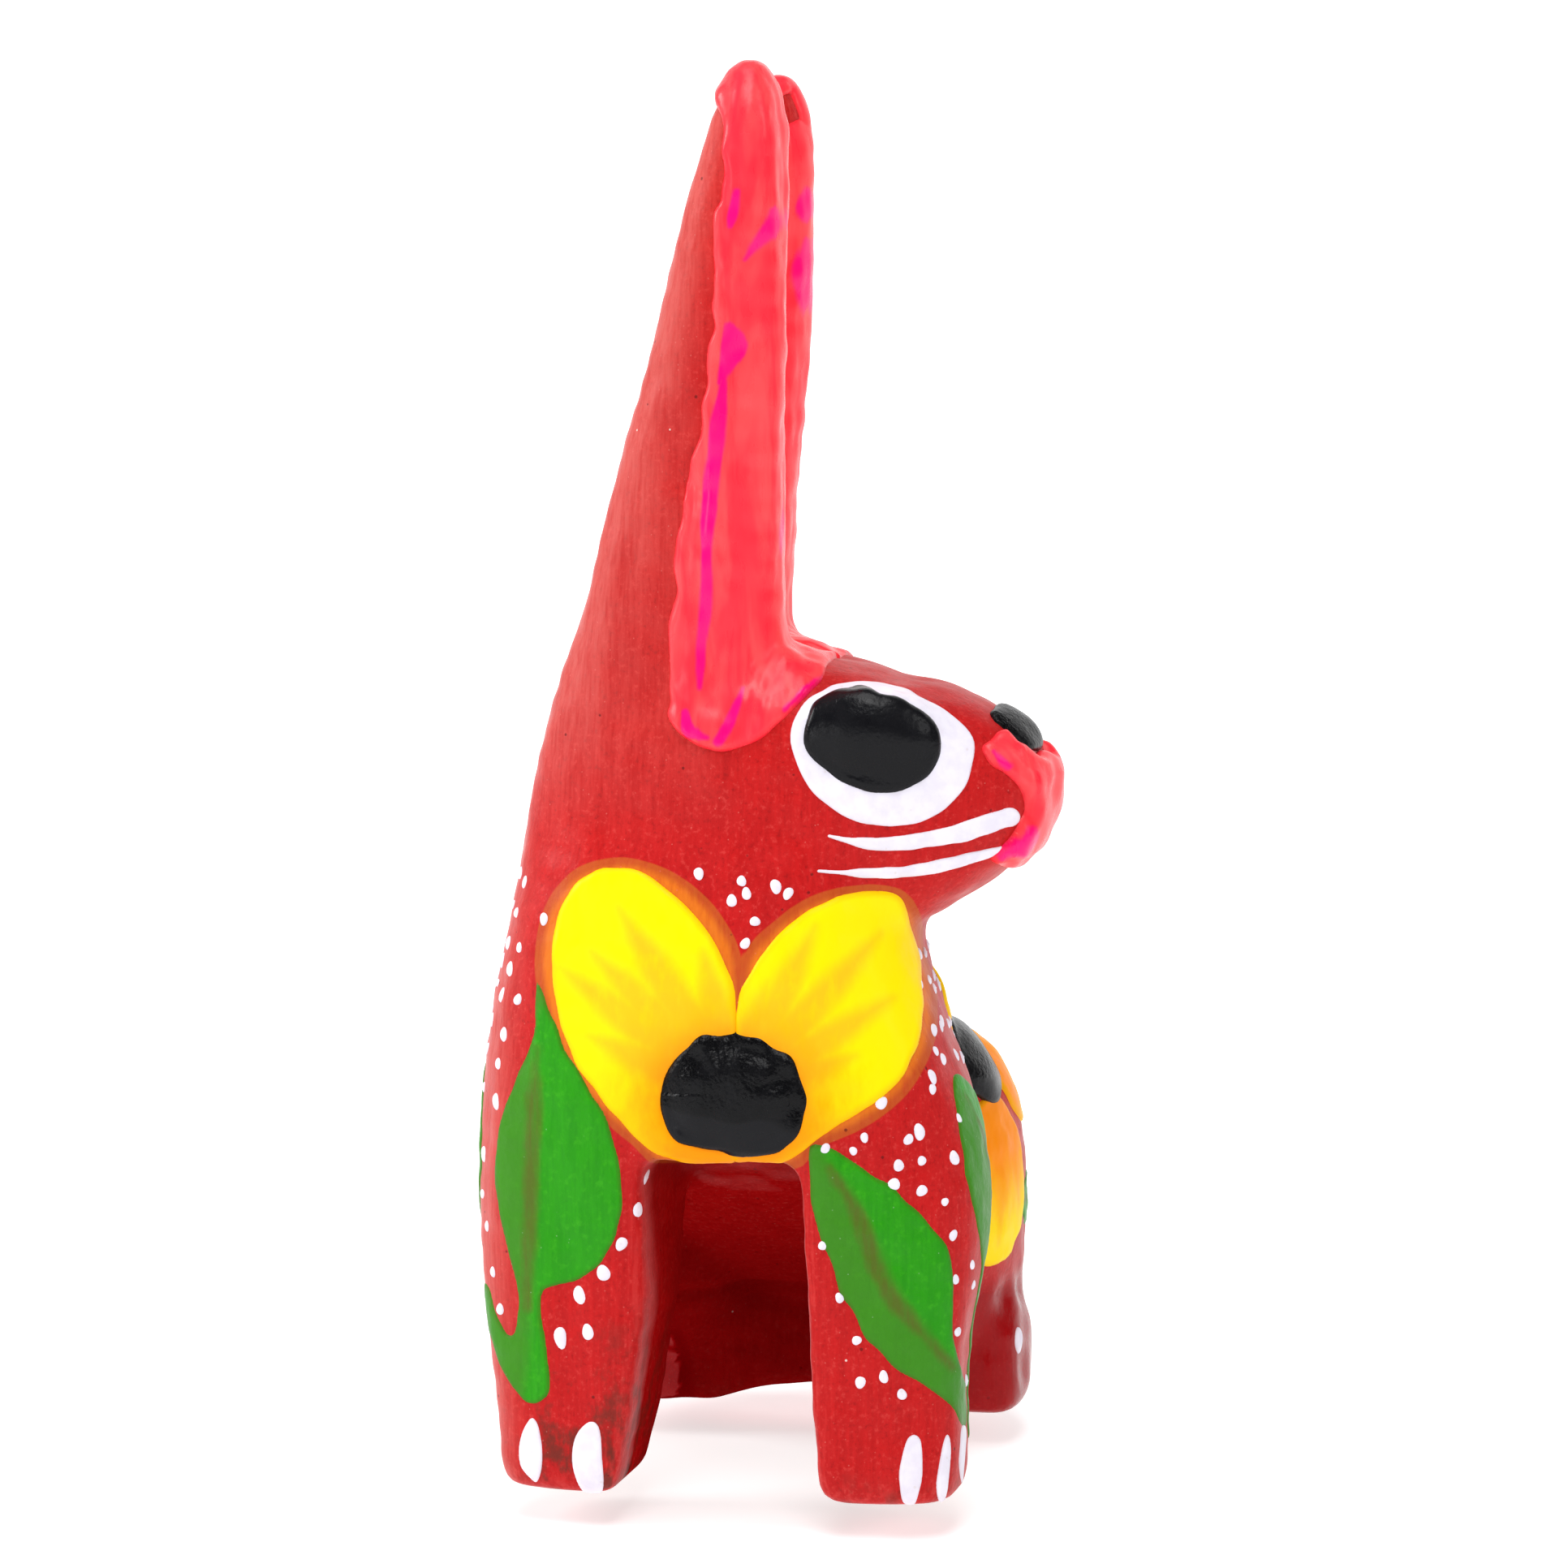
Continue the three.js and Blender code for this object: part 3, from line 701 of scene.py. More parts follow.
def white_paint():
    paint = Paint("white_paint")
    thin = paint.noise(paint.stretched(700, 700, 700), detail=4)
    colour = paint.mix(paint.step(thin, 0.35, 0.65), (0.82, 0.79, 0.88), (0.76, 0.72, 0.82))
    rim = paint.step(paint.attribute("depth"), 0.14, 0.0, top=0.30)
    colour = paint.mix(rim, colour, (0.60, 0.34, 0.38))
    spots = paint.math("MULTIPLY", speckle(paint, 0.0013, 0.12), 0.20)
    colour = paint.mix(spots, colour, (0.50, 0.38, 0.26))
    paint.bump(paint.noise(paint.stretched(1500, 1500, 900), detail=3), 0.15, 0.00008)
    paint.set(Roughness=paint.step(thin, 0.3, 0.7, 0.38, 0.52), Specular_IOR_Level=0.3)
    return paint.set(Base_Color=colour)


def black_paint():
    """Thick satin black, finely grained like leather where mark is positive and smooth where it isn't."""
    paint = Paint("black_paint")
    cloud = paint.noise(paint.stretched(500, 500, 500), detail=3)
    grainy = paint.step(paint.attribute("mark"), -0.3, 0.4)
    colour = paint.mix(paint.step(cloud, 0.35, 0.7), (0.0010, 0.0010, 0.0016), (0.0028, 0.0028, 0.0038))
    colour = paint.mix(grainy, (0.0060, 0.0060, 0.0078), colour)
    leather = paint.cells(paint.stretched(2500, 2500, 2500), feature="SMOOTH_F1")
    fine = paint.noise(paint.stretched(4200, 4200, 4200), detail=3)
    height = paint.math("ADD", paint.math("MULTIPLY", leather, 0.6), paint.math("MULTIPLY", fine, 0.7))
    paint.bump(paint.math("MULTIPLY", height, grainy), 0.50, 0.00016)
    paint.bump(paint.noise(paint.stretched(900, 900, 900), detail=2), 0.08, 0.00012)
    paint.set(Roughness=paint.step(cloud, 0.3, 0.7, 0.22, 0.32), Specular_IOR_Level=0.15)
    return paint.set(Base_Color=colour)


def pink_paint():
    paint = Paint("pink_paint", roughness=0.25)
    flow = paint.noise(paint.stretched(420, 420, 90), detail=3, distortion=0.6)
    drag = paint.math("MULTIPLY", paint.math("SUBTRACT", flow, 0.5), 0.9)
    colour = paint.mix(paint.step(flow, 0.36, 0.68), (1.0, 0.024, 0.046), (1.0, 0.068, 0.078))
    streak = paint.step(paint.math("ADD", paint.attribute("mark"), drag), 0.20, -0.14)
    colour = paint.mix(streak, colour, (1.0, 0.0006, 0.17))
    rim = paint.step(paint.attribute("depth"), 0.40, 0.0, top=0.55)
    colour = paint.mix(rim, colour, (0.74, 0.008, 0.022))
    paint.bump(paint.noise(paint.stretched(700, 700, 260), detail=2), 0.18, 0.00014)
    rough = paint.step(paint.noise(paint.stretched(800, 800, 300)), 0.3, 0.7, 0.24, 0.36)
    paint.set(Roughness=rough, Specular_IOR_Level=0.22)
    return paint.set(Base_Color=colour)


def bare_wood():
    paint = Paint("bare_peg_wood", roughness=0.7)
    streaks = paint.noise(paint.stretched(1400, 1400, 160), detail=4)
    colour = paint.mix(paint.step(streaks, 0.35, 0.65), (0.42, 0.26, 0.12), (0.62, 0.43, 0.23))
    paint.bump(streaks, 0.3, 0.0001)
    return paint.set(Base_Color=colour)


RED, YELLOW, GREEN, WHITE = red_wood_paint(), yellow_paint(), green_paint(), white_paint()
BLACK, PINK, BARE = black_paint(), pink_paint(), bare_wood()

# ---------------------------------------------------------------- the chest's drawing, as x and z

CHEST_HEART = (2.4, 33.3)  # middle of the chest flower
RIGHT_PETAL = outline(
    (2.6, 40.4), (1.8, 43.4), (0.0, 46.6), (-2.8, 49.4), (-5.7, 51.1), (-8.7, 51.0), (-11.0, 49.4),
    (-12.3, 46.6), (-12.6, 43.0), (-12.1, 39.4), (-10.7, 35.5), (-8.1, 32.0), (-5.9, 29.7), (-3.8, 28.2),
    (-1.0, 27.5), (2.3, 27.3), (2.5, 31.0), (2.5, 36.0),
)
LEFT_PETAL = outline(
    (2.6, 40.4), (3.9, 43.4), (6.2, 46.4), (9.2, 48.6), (12.5, 49.7), (15.8, 49.6), (16.8, 47.3),
    (17.7, 44.1), (17.9, 40.9), (17.4, 37.6), (15.8, 34.7), (12.8, 32.2), (9.5, 30.1), (7.6, 28.6),
    (5.4, 27.6), (2.5, 27.3), (2.6, 31.0), (2.6, 36.0),
)
FLOWER_WASH = together(
    outline(
        (3.0, 43.6), (1.6, 47.2), (-1.1, 50.1), (-4.4, 51.7), (-7.4, 52.0), (-10.7, 50.9), (-13.0, 48.2),
        (-14.0, 44.2), (-13.6, 40.3), (-12.2, 36.0), (-9.5, 32.0), (-6.1, 29.0), (-3.4, 27.0), (2.0, 27.4),
        (3.4, 34),
    ),
    outline(
        (3.0, 43.6), (6.2, 47.7), (10.1, 49.8), (14.4, 50.3), (17.0, 49.0), (18.6, 44.8), (19.2, 40.9),
        (18.7, 37.4), (16.4, 33.6), (12.8, 30.8), (9.2, 29.2), (7.6, 27.6), (4.0, 27.4), (2.8, 34.0),
    ),
)


def flame(tip, foot=(0, 0), width=3.2):
    """A brush stroke that starts broad near the flower's middle and ends in a point at its tip."""
    foot, tip = np.array(foot, float), np.array(tip, float)
    start = foot + (tip - foot) * 0.2
    near, far = (start + (tip - start) * share for share in (0.5, 0.8))
    return stroke((*start, width), (*near, width * 0.85), (*far, width * 0.42), (*tip, 0.02))


def flames(*tips, heart=CHEST_HEART, width=3.2):
    return together(*[flame(tip, heart, width) for tip in tips])


RIGHT_FLAMES = flames((-0.1, 44.8), (-2.6, 42.6), (-7.0, 48.0), (-9.2, 44.4), (-11.8, 43.0), (-9.4, 37.6),
                      width=3.4)
LEFT_FLAMES = flames((5.2, 42.4), (9.0, 46.9), (11.2, 43.6), (14.2, 46.4), (15.2, 41.2), (12.2, 36.6),
                     width=2.9)

RIGHT_LEG_LEAF = outline(
    (-13.9, 42.0), (-12.6, 39.2), (-11.2, 36.0), (-9.3, 33.1), (-7.8, 30.2), (-7.0, 26.9), (-6.9, 23.6),
    (-7.6, 20.9), (-9.0, 18.9), (-11.0, 17.5), (-13.3, 16.8), (-13.5, 14.7), (-13.2, 12.1), (-12.8, 8.8),
    (-13.4, 7.7), (-14.6, 7.4), (-15.6, 8.0), (-17.0, 9.9), (-18.2, 13.2), (-18.8, 16.4), (-18.2, 16.8),
    (-17.2, 14.2), (-16.3, 12.9), (-15.7, 13.4), (-15.5, 15.2), (-15.7, 17.3), (-16.6, 20.6), (-17.3, 23.9),
    (-17.4, 27.2), (-16.9, 30.5), (-15.7, 33.9), (-14.5, 36.5), (-14.0, 39.2),
)
RIGHT_LEG_VEIN = stroke((-13.7, 36.6, 0.2), (-14.0, 31.3, 1.2), (-14.3, 26.5, 1.1), (-14.5, 21.0, 0.9),
                        (-14.7, 15.3, 0.4))
RIGHT_LEG_BRIGHT = outline((-13.4, 40), (-4, 36), (-4, 14), (-12, 7), (-15, 7), (-14.4, 14), (-14.0, 22),
                           (-13.9, 31))
LEFT_LEG_LEAF = outline(
    (8.6, 29.3), (10.2, 29.2), (12.9, 27.7), (16.0, 25.5), (18.6, 22.9), (19.9, 21.0), (20.3, 18.0),
    (20.4, 14.1), (21.1, 11.0), (21.6, 9.4), (21.4, 6.4), (20.2, 8.3), (18.0, 10.1), (16.0, 11.2),
    (13.7, 13.4), (11.9, 16.1), (10.3, 19.6), (8.9, 23.5), (8.5, 26.8),
)
LEFT_LEG_VEIN = stroke((10.2, 27.6, 0.2), (12.6, 23.7, 1.0), (13.7, 20.4, 1.0), (15.3, 17.2, 1.0),
                       (20.3, 11.5, 0.4))
LEFT_LEG_BRIGHT = outline((9.4, 29.8), (14, 29), (23, 24), (23, 12), (20.6, 12), (16.4, 17.4), (14.4, 21.4),
                          (12.6, 25.0))

RIGHT_STRIP_DOTS = [
    (-15.0, 49.8), (-16.3, 50.5), (-16.6, 47.9), (-15.7, 47.3), (-13.3, 46.9), (-16.4, 44.8), (-15.4, 44.5),
    (-17.5, 43.4), (-16.2, 42.7), (-17.6, 41.5), (-16.9, 40.6), (-15.5, 40.3), (-17.8, 38.5), (-16.7, 37.4),
    (-18.2, 36.1), (-17.2, 35.0), (-18.8, 32.9), (-17.4, 31.9), (-18.8, 27.5), (-18.6, 24.2), (-18.2, 21.6),
    (-17.7, 17.9), (-17.1, 14.9),
]
LEFT_CORNER_DOTS = [
    (18.9, 37.0), (18.6, 35.0), (18.6, 34.0), (20.8, 31.6), (20.4, 28.5), (19.6, 25.0), (20.3, 22.3),
    (20.5, 18.7), (20.7, 14.4), (22.0, 18.1), (21.9, 19.8), (18.9, 41.9), (19.4, 38.9), (21.5, 10.1),
]
THROAT_DOTS = [
    (-0.5, 50.9), (3.0, 50.4), (3.4, 49.4), (2.2, 48.8), (5.8, 50.0), (6.8, 49.5), (4.1, 47.2), (3.3, 45.4),
]
RIGHT_LEG_DOTS = [
    (-4.9, 26.2), (-5.5, 23.6), (-6.9, 20.8), (-8.4, 18.4), (-10.4, 16.5), (-12.0, 12.9), (-9.7, 13.5),
]
LEFT_LEG_DOTS = [
    (14.4, 32.9), (13.0, 30.1), (12.1, 29.0), (9.8, 29.1), (17.5, 30.6), (16.6, 30.0), (17.7, 28.3),
    (15.8, 27.9), (15.4, 26.4), (17.7, 25.9), (9.6, 21.3), (11.0, 17.1), (12.4, 13.7), (12.7, 10.3),
    (14.6, 10.8), (16.1, 9.4),
]


def on(plane, shape):
    return lambda points, normals: plane.distance(shape, points, normals)


def along(plane, shape):
    return lambda points: shape(plane.flat(points))


def heart_distance(piece, plane, heart):
    """Stores how far each point is from just under the flower's middle, as the attribute heart."""
    mesh = piece.data
    points = np.empty(len(mesh.vertices) * 3)
    mesh.vertices.foreach_get("co", points)
    points = points.reshape(-1, 3) / MM - DRAWING_ORIGIN
    values = np.linalg.norm(plane.flat(points) - heart + (0, 3.5), axis=1).astype(np.float32)
    mesh.attributes.new("heart", "FLOAT", "POINT").data.foreach_set("value", values)


def petal(name, plane, shape, strokes, heart, thickness=0.28):
    piece = film(name, on(plane, shape), YELLOW, "red_painted_wood", thickness, 0.6, grain=0.008,
                 wobble=0.04, marks=along(plane, strokes))
    heart_distance(piece, plane, heart)


def leaf(name, plane, shape, vein, bright):
    film(name, on(plane, shape), GREEN, "red_painted_wood", 0.14, 0.4, grain=0.010, wobble=0.05,
         marks=along(plane, vein), bright=along(plane, bright))


def white_mark(name, plane, shape, thickness=0.18, edge=0.35):
    film(name, on(plane, shape), WHITE, "red_painted_wood", thickness, edge, grain=0.006, levels=2)


DOT_HEIGHT = 0.22


def dots(name, plane, places, size, seed):
    """Dabs of thick white paint, each a slightly uneven low dome on the skin."""
    rng = np.random.default_rng(seed)
    rings, around = 5, 16
    all_points, all_faces = [], []
    for u, v in places:
        for nudge in np.arange(0, 3, 0.3):
            inward = u - math.copysign(nudge, u - BODY_MIDDLE_X)
            start = plane.axes[0] * inward + plane.axes[1] * v + plane.through + plane.toward * 80
            hit, normal, _, _ = skin.tree.ray_cast(Vector(start), Vector(-plane.toward))
            if hit is not None and normal @ Vector(plane.toward) > 0.12:
                break
        if hit is None:
            continue
        normal = np.array(normal)
        side = unit(np.cross(normal, plane.axes[1]))
        up = np.cross(side, normal)
        lean = rng.uniform(-0.5, 0.5)
        half = size * rng.uniform(0.78, 1.12)
        tall = half * rng.uniform(1.0, 1.45)
        base = len(all_points)
        all_points.append(np.array(hit) + normal * DOT_HEIGHT)
        for ring in range(1, rings + 1):
            share = ring / rings
            for k in range(around):
                angle = math.tau * k / around
                uneven = 1 + 0.07 * math.sin(2 * angle + lean * 9) + 0.05 * math.sin(3 * angle + u)
                across = half * share * uneven * math.cos(angle)
                rise = tall * share * uneven * math.sin(angle)
                across, rise = (across * math.cos(lean) - rise * math.sin(lean),
                                across * math.sin(lean) + rise * math.cos(lean))
                lift = DOT_HEIGHT * math.sqrt(max(1 - share**2.4, 0)) - 2 * SUNK
                all_points.append(np.array(hit) + side * across + up * rise + normal * lift)
        for k in range(around):
            following = (k + 1) % around
            all_faces.append((base, base + 1 + k, base + 1 + following))
            for ring in range(1, rings):
                inner, outer = base + 1 + (ring - 1) * around, base + 1 + ring * around
                all_faces.append((inner + k, outer + k, outer + following))
                all_faces.append((inner + k, outer + following, inner + following))
    faces = np.array(all_faces)
    points = np.array(all_points)
    new_piece(name, points, faces, WHITE, "red_painted_wood", depth=np.full(len(points), 1.0))


# ---------------------------------------------------------------- the wooden pieces


def wood_pieces():
    points = skin.points
    flat = FRONT.flat(points)
    wash = np.where(points[:, 1] < -14, FLOWER_WASH(flat), FAR)
    gap = np.maximum(np.abs(points[:, 0] + 7.5) - 5, 0)
    soil = ramp(points[:, 2], 20, 3) * ramp(gap, 6, 0) * ramp(points[:, 1], -8, -20)
    soil = np.maximum(soil, 0.55 * ramp(points[:, 2], 4, 0))
    # inside marks painted shade in the arch between the forelegs, darkest low down and far in.
    inside = ramp(np.abs(points[:, 0] - BODY_MIDDLE_X), 13.5, 11) * ramp(skin.normals[:, 1], -0.80, -0.45)
    inside = np.maximum(inside * ramp(points[:, 1], -26, -21),
                        ramp(points[:, 1], -12, -6) * (np.abs(points[:, 0]) < 11))
    inside *= ramp(points[:, 2], 31, 28.5) * ramp(points[:, 1], 20, 16)
    inside *= 0.45 + 0.55 * ramp(points[:, 2], 27, 12) * ramp(points[:, 1], -24, -8)
    # Painted sheen: where the back of the head and the body's left side face the left lamp, their colour is
    # lightened toward pink.
    outer = np.maximum(ramp(points[:, 2], 50, 66) * ramp(points[:, 0], 4, -3), ramp(points[:, 0], -14, -19))
    chalk = outer * ramp(skin.normals[:, 0], 0.35, -0.75)
    for index, node in enumerate(WOOD):
        faces = skin.faces[skin.owner == index]
        new_piece(f"{node}_painted", points, faces, RED, "red_painted_wood", normals=skin.normals,
                  replaces=[node], hollow=skin.hollow, wash=wash, soil=soil, gloss=hind_feet(points),
                  inside=inside, chalk=chalk)


def chest():
    petal("chest_petal_right", FRONT, RIGHT_PETAL, RIGHT_FLAMES, CHEST_HEART)
    petal("chest_petal_left", FRONT, LEFT_PETAL, LEFT_FLAMES, CHEST_HEART)
    middle_shape = outline((-3.7, 32.2), (-3.3, 34.8), (-2.0, 36.6), (-0.2, 37.9), (2.6, 38.3), (5.6, 37.5),
                           (7.6, 35.7), (8.4, 33.1), (7.8, 30.5), (6.2, 28.8), (3.6, 28.3), (0.4, 28.7),
                           (-2.6, 29.5))
    film("chest_flower_middle", on(FRONT, middle_shape), BLACK, "black_paint", 0.5, 0.6, wobble=0.06,
         levels=2, crown=0.8, crown_reach=4.2, ridges=lambda p: crinkle(p, CHEST_HEART),
         replaces=["chest_flower_centre"],
         marks=lambda p: p[:, 2] - 31.4 + 0.12 * (p[:, 0] - 2.4) + 0.3 * ripple(p, 3.0, 73))
    leaf("right_foreleg_leaf", FRONT, RIGHT_LEG_LEAF, RIGHT_LEG_VEIN, RIGHT_LEG_BRIGHT)
    leaf("left_foreleg_leaf", FRONT, LEFT_LEG_LEAF, LEFT_LEG_VEIN, LEFT_LEG_BRIGHT)
    dots("right_shoulder_dots", FRONT, RIGHT_STRIP_DOTS, size=0.46, seed=2)
    dots("throat_dots", FRONT, THROAT_DOTS, size=0.50, seed=3)
    dots("right_foreleg_dots", FRONT, RIGHT_LEG_DOTS, size=0.56, seed=4)
    dots("left_foreleg_dots", FRONT, LEFT_LEG_DOTS, size=0.46, seed=5)
    dots("left_corner_dots", FRONT, LEFT_CORNER_DOTS, size=0.44, seed=6)


def crinkle(points, heart):
    """Shrivelled ridges round the upper half of a flower's middle, where thick paint has shrunk."""
    around = np.arctan2(points[:, 2] - heart[1], points[:, 0] - heart[0])
    out = np.hypot(points[:, 0] - heart[0], points[:, 2] - heart[1])
    spread = ramp(out, 1.6, 3.8) * ramp(around, -0.4, 0.5)
    folds = np.sin(around * 12 + 1.5 * np.sin(around * 3 + 1)) * spread
    return 0.09 * folds + 0.02 * ripple(points, 2.6, 9)


def toenails():
    shapes = {
        "right_forefoot_nail_1": [(-14.6, 6.1), (-13.9, 5.8), (-13.6, 4.2), (-13.6, 2.2), (-14.0, 0.9),
                                  (-14.6, 1.2), (-15.4, 2.2), (-15.5, 4.0)],
        "right_forefoot_nail_2": [(-9.8, 6.1), (-8.9, 5.9), (-8.6, 4.0), (-8.5, 0.4), (-9.6, 0.1),
                                  (-10.4, 0.6), (-11.0, 2.4), (-10.9, 4.6)],
        "left_forefoot_nail_1": [(16.6, 5.8), (17.6, 5.7), (17.8, 3.0), (17.4, 0.7), (16.8, 0.3),
                                 (16.1, 0.8), (15.9, 3.2)],
        "left_forefoot_nail_2": [(19.6, 5.8), (20.1, 5.7), (20.1, 3.0), (19.7, 0.8), (19.2, 0.6),
                                 (19.0, 2.6)],
        "left_forefoot_nail_3": [(21.1, 6.4), (21.5, 6.0), (21.4, 3.6), (21.2, 1.6), (20.9, 3.6)],
    }
    for name, corners in shapes.items():
        white_mark(name, FRONT, outline(*corners))


LEFT_EYE_DROP = -1.3  # the left eye is painted lower than the right


def face():
    eye = outline((6.5, 61.4), (7.1, 64.1), (9.2, 65.6), (11.9, 65.9), (15.2, 65.1), (18.2, 63.6),
                  (20.4, 61.6), (20.6, 59.4), (19.6, 57.0), (17.2, 55.2), (13.9, 54.7), (10.6, 55.6),
                  (8.0, 57.8))
    pupil = outline((7.4, 61.6), (8.0, 64.2), (9.7, 65.3), (12.1, 65.5), (15.2, 64.6), (17.5, 63.0),
                    (18.2, 61.0), (17.5, 58.8), (15.6, 57.6), (13.2, 57.3), (10.6, 58.1), (8.3, 59.8))
    upper = stroke((9.6, 53.9, 0.2), (12.6, 53.3, 0.95), (15.8, 53.4, 1.25), (19.4, 54.0, 1.5),
                   (23.2, 55.2, 1.7))
    lower = stroke((8.8, 51.1, 0.2), (12.0, 50.9, 0.7), (15.6, 51.0, 1.0), (19.4, 51.7, 1.05),
                   (23.6, 52.8, 0.5))
    for side, plane, drop in (("right", RIGHT_CHEEK, 0.0), ("left", LEFT_CHEEK, LEFT_EYE_DROP)):
        over_the_top = Plane(*plane.axes, plane.toward, within=plane.within, facing=-0.25)
        eye_here, pupil_here = (moved(shape, offset=(0, drop)) for shape in (eye, pupil))
        white_mark(f"{side}_eye_white", over_the_top, eye_here, thickness=0.24, edge=0.4)
        film(f"{side}_eye_pupil", on(over_the_top, pupil_here), BLACK, "black_paint", 0.5, 0.6, wobble=0.05,
             levels=2, crown=0.7, crown_reach=4.0, ridges=lambda p: 0.02 * ripple(p, 3.4, 71),
             marks=lambda p: np.zeros(len(p)), replaces=[f"{side}_pupil"])
        white_mark(f"{side}_whisker_upper", plane, upper)
        white_mark(f"{side}_whisker_lower", plane, lower)


def nose_distance(points):
    nose = outline((21.2, 63.4), (21.4, 65.8), (24.0, 66.2), (27.0, 63.6), (27.4, 60.2), (25.8, 59.4),
                   (23.4, 61.2))
    return np.maximum(nose(points[:, [0, 2]]), np.abs(points[:, 1] - HEAD_MIDDLE_Y) - 3.7)


def nose_and_lips():
    film("nose_paint", lambda p, n: nose_distance(p), BLACK, "black_paint", 0.6, 0.7, levels=2, crown=0.4,
         crown_reach=2.2, marks=lambda p: np.ones(len(p)), replaces=["nose_pad"])

    lip = outline((21.2, 61.0), (22.4, 62.0), (24.4, 62.0), (28.5, 62.0), (29.0, 55.0), (27.4, 50.6),
                  (24.4, 50.8), (22.6, 50.9), (21.8, 51.7), (22.6, 53.0), (23.8, 54.2), (24.2, 55.8),
                  (23.9, 57.4), (22.8, 58.8), (21.6, 59.8))
    near_lip = stroke((24.2, 60.6, 0.9), (25.2, 59.3, 1.3), (24.8, 57.2, 0.9), (24.6, 55.2, 0.9),
                      (23.4, 52.8, 1.1))
    hot = together(stroke((22.4, 52.2, 0.6), (23.8, 53.4, 1.0), (24.1, 54.4, 0.3)),
                   stroke((21.8, 60.4, 0.2), (23.0, 59.2, 0.4)))

    cleft = stroke((26.6, 60.8, 0.5), (26.5, 58.0, 0.6), (26.2, 55.6, 0.8), (26.4, 53.4, 0.6))

    def lip_ridges(points):
        flat = points[:, [0, 2]]
        bead, parting = ramp(near_lip(flat), 0.5, -0.5), ramp(cleft(flat), 0.5, -0.3)
        far_lobe = np.exp(-(((points[:, 2] - 56.2) / 2.4) ** 2)) * ramp(points[:, 1], -14.5, -12)
        return 0.55 * bead - 0.50 * parting + 0.45 * far_lobe + 0.06 * ripple(points, 3.0, 12)

    film("lip_paint", lambda p, n: np.maximum(lip(p[:, [0, 2]]), 0.1 - nose_distance(p)), PINK,
         "pink_paint", 0.42, 0.6, levels=2, crown=0.35, crown_reach=2.4, wobble=0.10, ridges=lip_ridges,
         replaces=["lips"], marks=lambda p: hot(p[:, [0, 2]]))


EAR_OFFSET = 5.2  # from the head's middle plane to an ear's middle


def ear_linings():
    shape = outline((8.4, 66.5), (7.7, 65.3), (6.6, 64.0), (4.3, 61.8), (1.6, 60.6), (-0.2, 60.7),
                    (-2.4, 61.7), (-3.4, 63.9), (-3.6, 67.2), (-3.3, 71.1), (-3.0, 75.7), (-2.4, 80.2),
                    (-1.3, 85.4), (-0.5, 90.0), (-0.2, 94.5), (0.1, 98.3), (-0.2, 101.6), (0.3, 104.8),
                    (0.6, 108.6), (0.4, 110.8), (-0.6, 112.4), (-2.0, 115.5), (2.0, 118.0), (7.0, 116.0),
                    (7.4, 104.0), (7.4, 88.0), (7.4, 76.0), (7.2, 70.6), (7.7, 68.6))
    streaks = {
        "right": together(
            stroke((0.8, 91.0, 0.2), (0.4, 86.7, 1.2), (0.0, 83.6, 1.2), (-0.3, 80.2, 1.3),
                   (-0.5, 76.3, 0.8), (-0.6, 72.4, 0.9), (-0.9, 69.2, 0.6), (-1.0, 65.4, 0.2)),
            stroke((1.1, 94.4, 0.5), (1.5, 92.8, 1.9), (1.0, 91.4, 1.2), (0.4, 89.8, 0.3)),
            stroke((4.0, 103.5, 0.5), (3.9, 102.2, 1.0), (3.2, 101.2, 0.7), (2.3, 99.6, 0.2)),
            stroke((1.8, 105.0, 0.1), (1.5, 103.3, 0.4), (1.3, 102.3, 0.1)),
            stroke((-2.0, 63.4, 0.3), (-1.4, 62.1, 0.9), (-0.1, 61.6, 0.3)),
            stroke((2.4, 65.4, 0.1), (1.6, 63.0, 0.6), (0.7, 61.3, 0.8)),
            stroke((4.9, 81.8, 0.1), (4.4, 77.7, 0.4), (4.7, 73.6, 0.2)),
            stroke((5.9, 63.8, 0.2), (7.2, 65.0, 0.5), (8.2, 66.0, 0.5)),
        ),
        "left": together(
            stroke((4.3, 105.2, 0.2), (4.2, 103.6, 0.9), (4.2, 102.6, 0.2)),
            stroke((4.3, 101.0, 0.3), (4.0, 98.1, 0.8), (4.3, 94.8, 0.3)),
            stroke((0.2, 90.0, 0.2), (-0.4, 80.2, 1.0), (-1.0, 66.4, 0.2)),
        ),
    }
    for side, sign in (("right", -1), ("left", 1)):
        ear_middle = HEAD_MIDDLE_Y + sign * EAR_OFFSET

        def lining(points, normals):
            inward = np.maximum((ear_middle - points[:, 1]) * sign, 0) * ramp(points[:, 2], 69, 74)
            flat = np.column_stack([points[:, 0] - 0.7 * inward, points[:, 2]])
            ragged = 0.16 * ripple(points, 4.5, 22) + 0.07 * ripple(points, 1.8, 24)
            return shape(flat) + ragged * ramp(points[:, 0], 2.5, 0.5) * ramp(points[:, 2], 61, 64)

        def covered(points, normals):
            past_middle = (HEAD_MIDDLE_Y + sign * 0.2 - points[:, 1]) * sign
            painted = np.maximum(lining(points, normals), past_middle)
            if side == "right":
                return painted
            bare_patch = np.maximum(oval(3.4, 111.6, 1.0, 1.2)(points[:, [0, 2]]), points[:, 1] + 8.6)
            return np.maximum(painted, -bare_patch)

        def flows(points):
            rim = ramp(lining(points, None), -1.5, -0.5) * ramp(points[:, 0], 2.6, 0.8)
            beads = 0.16 + 0.10 * ripple(points, 2.6, 23, (1, 1, 2.2))
            waves = 0.09 * ripple(points, 3.6, 21, (1, 1, 6)) + 0.02 * ripple(points, 1.2, 27, (1, 1, 3))
            return waves + rim * beads

        film(f"{side}_ear_lining_paint", covered, PINK, "pink_paint", 0.36, 0.5, levels=1, wobble=0.04,
             crown=0.2, crown_reach=2.2, ridges=flows, marks=lambda p: streaks[side](p[:, [0, 2]]),
             replaces=[f"{side}_ear_lining"])


# ---------------------------------------------------------------- flanks and back


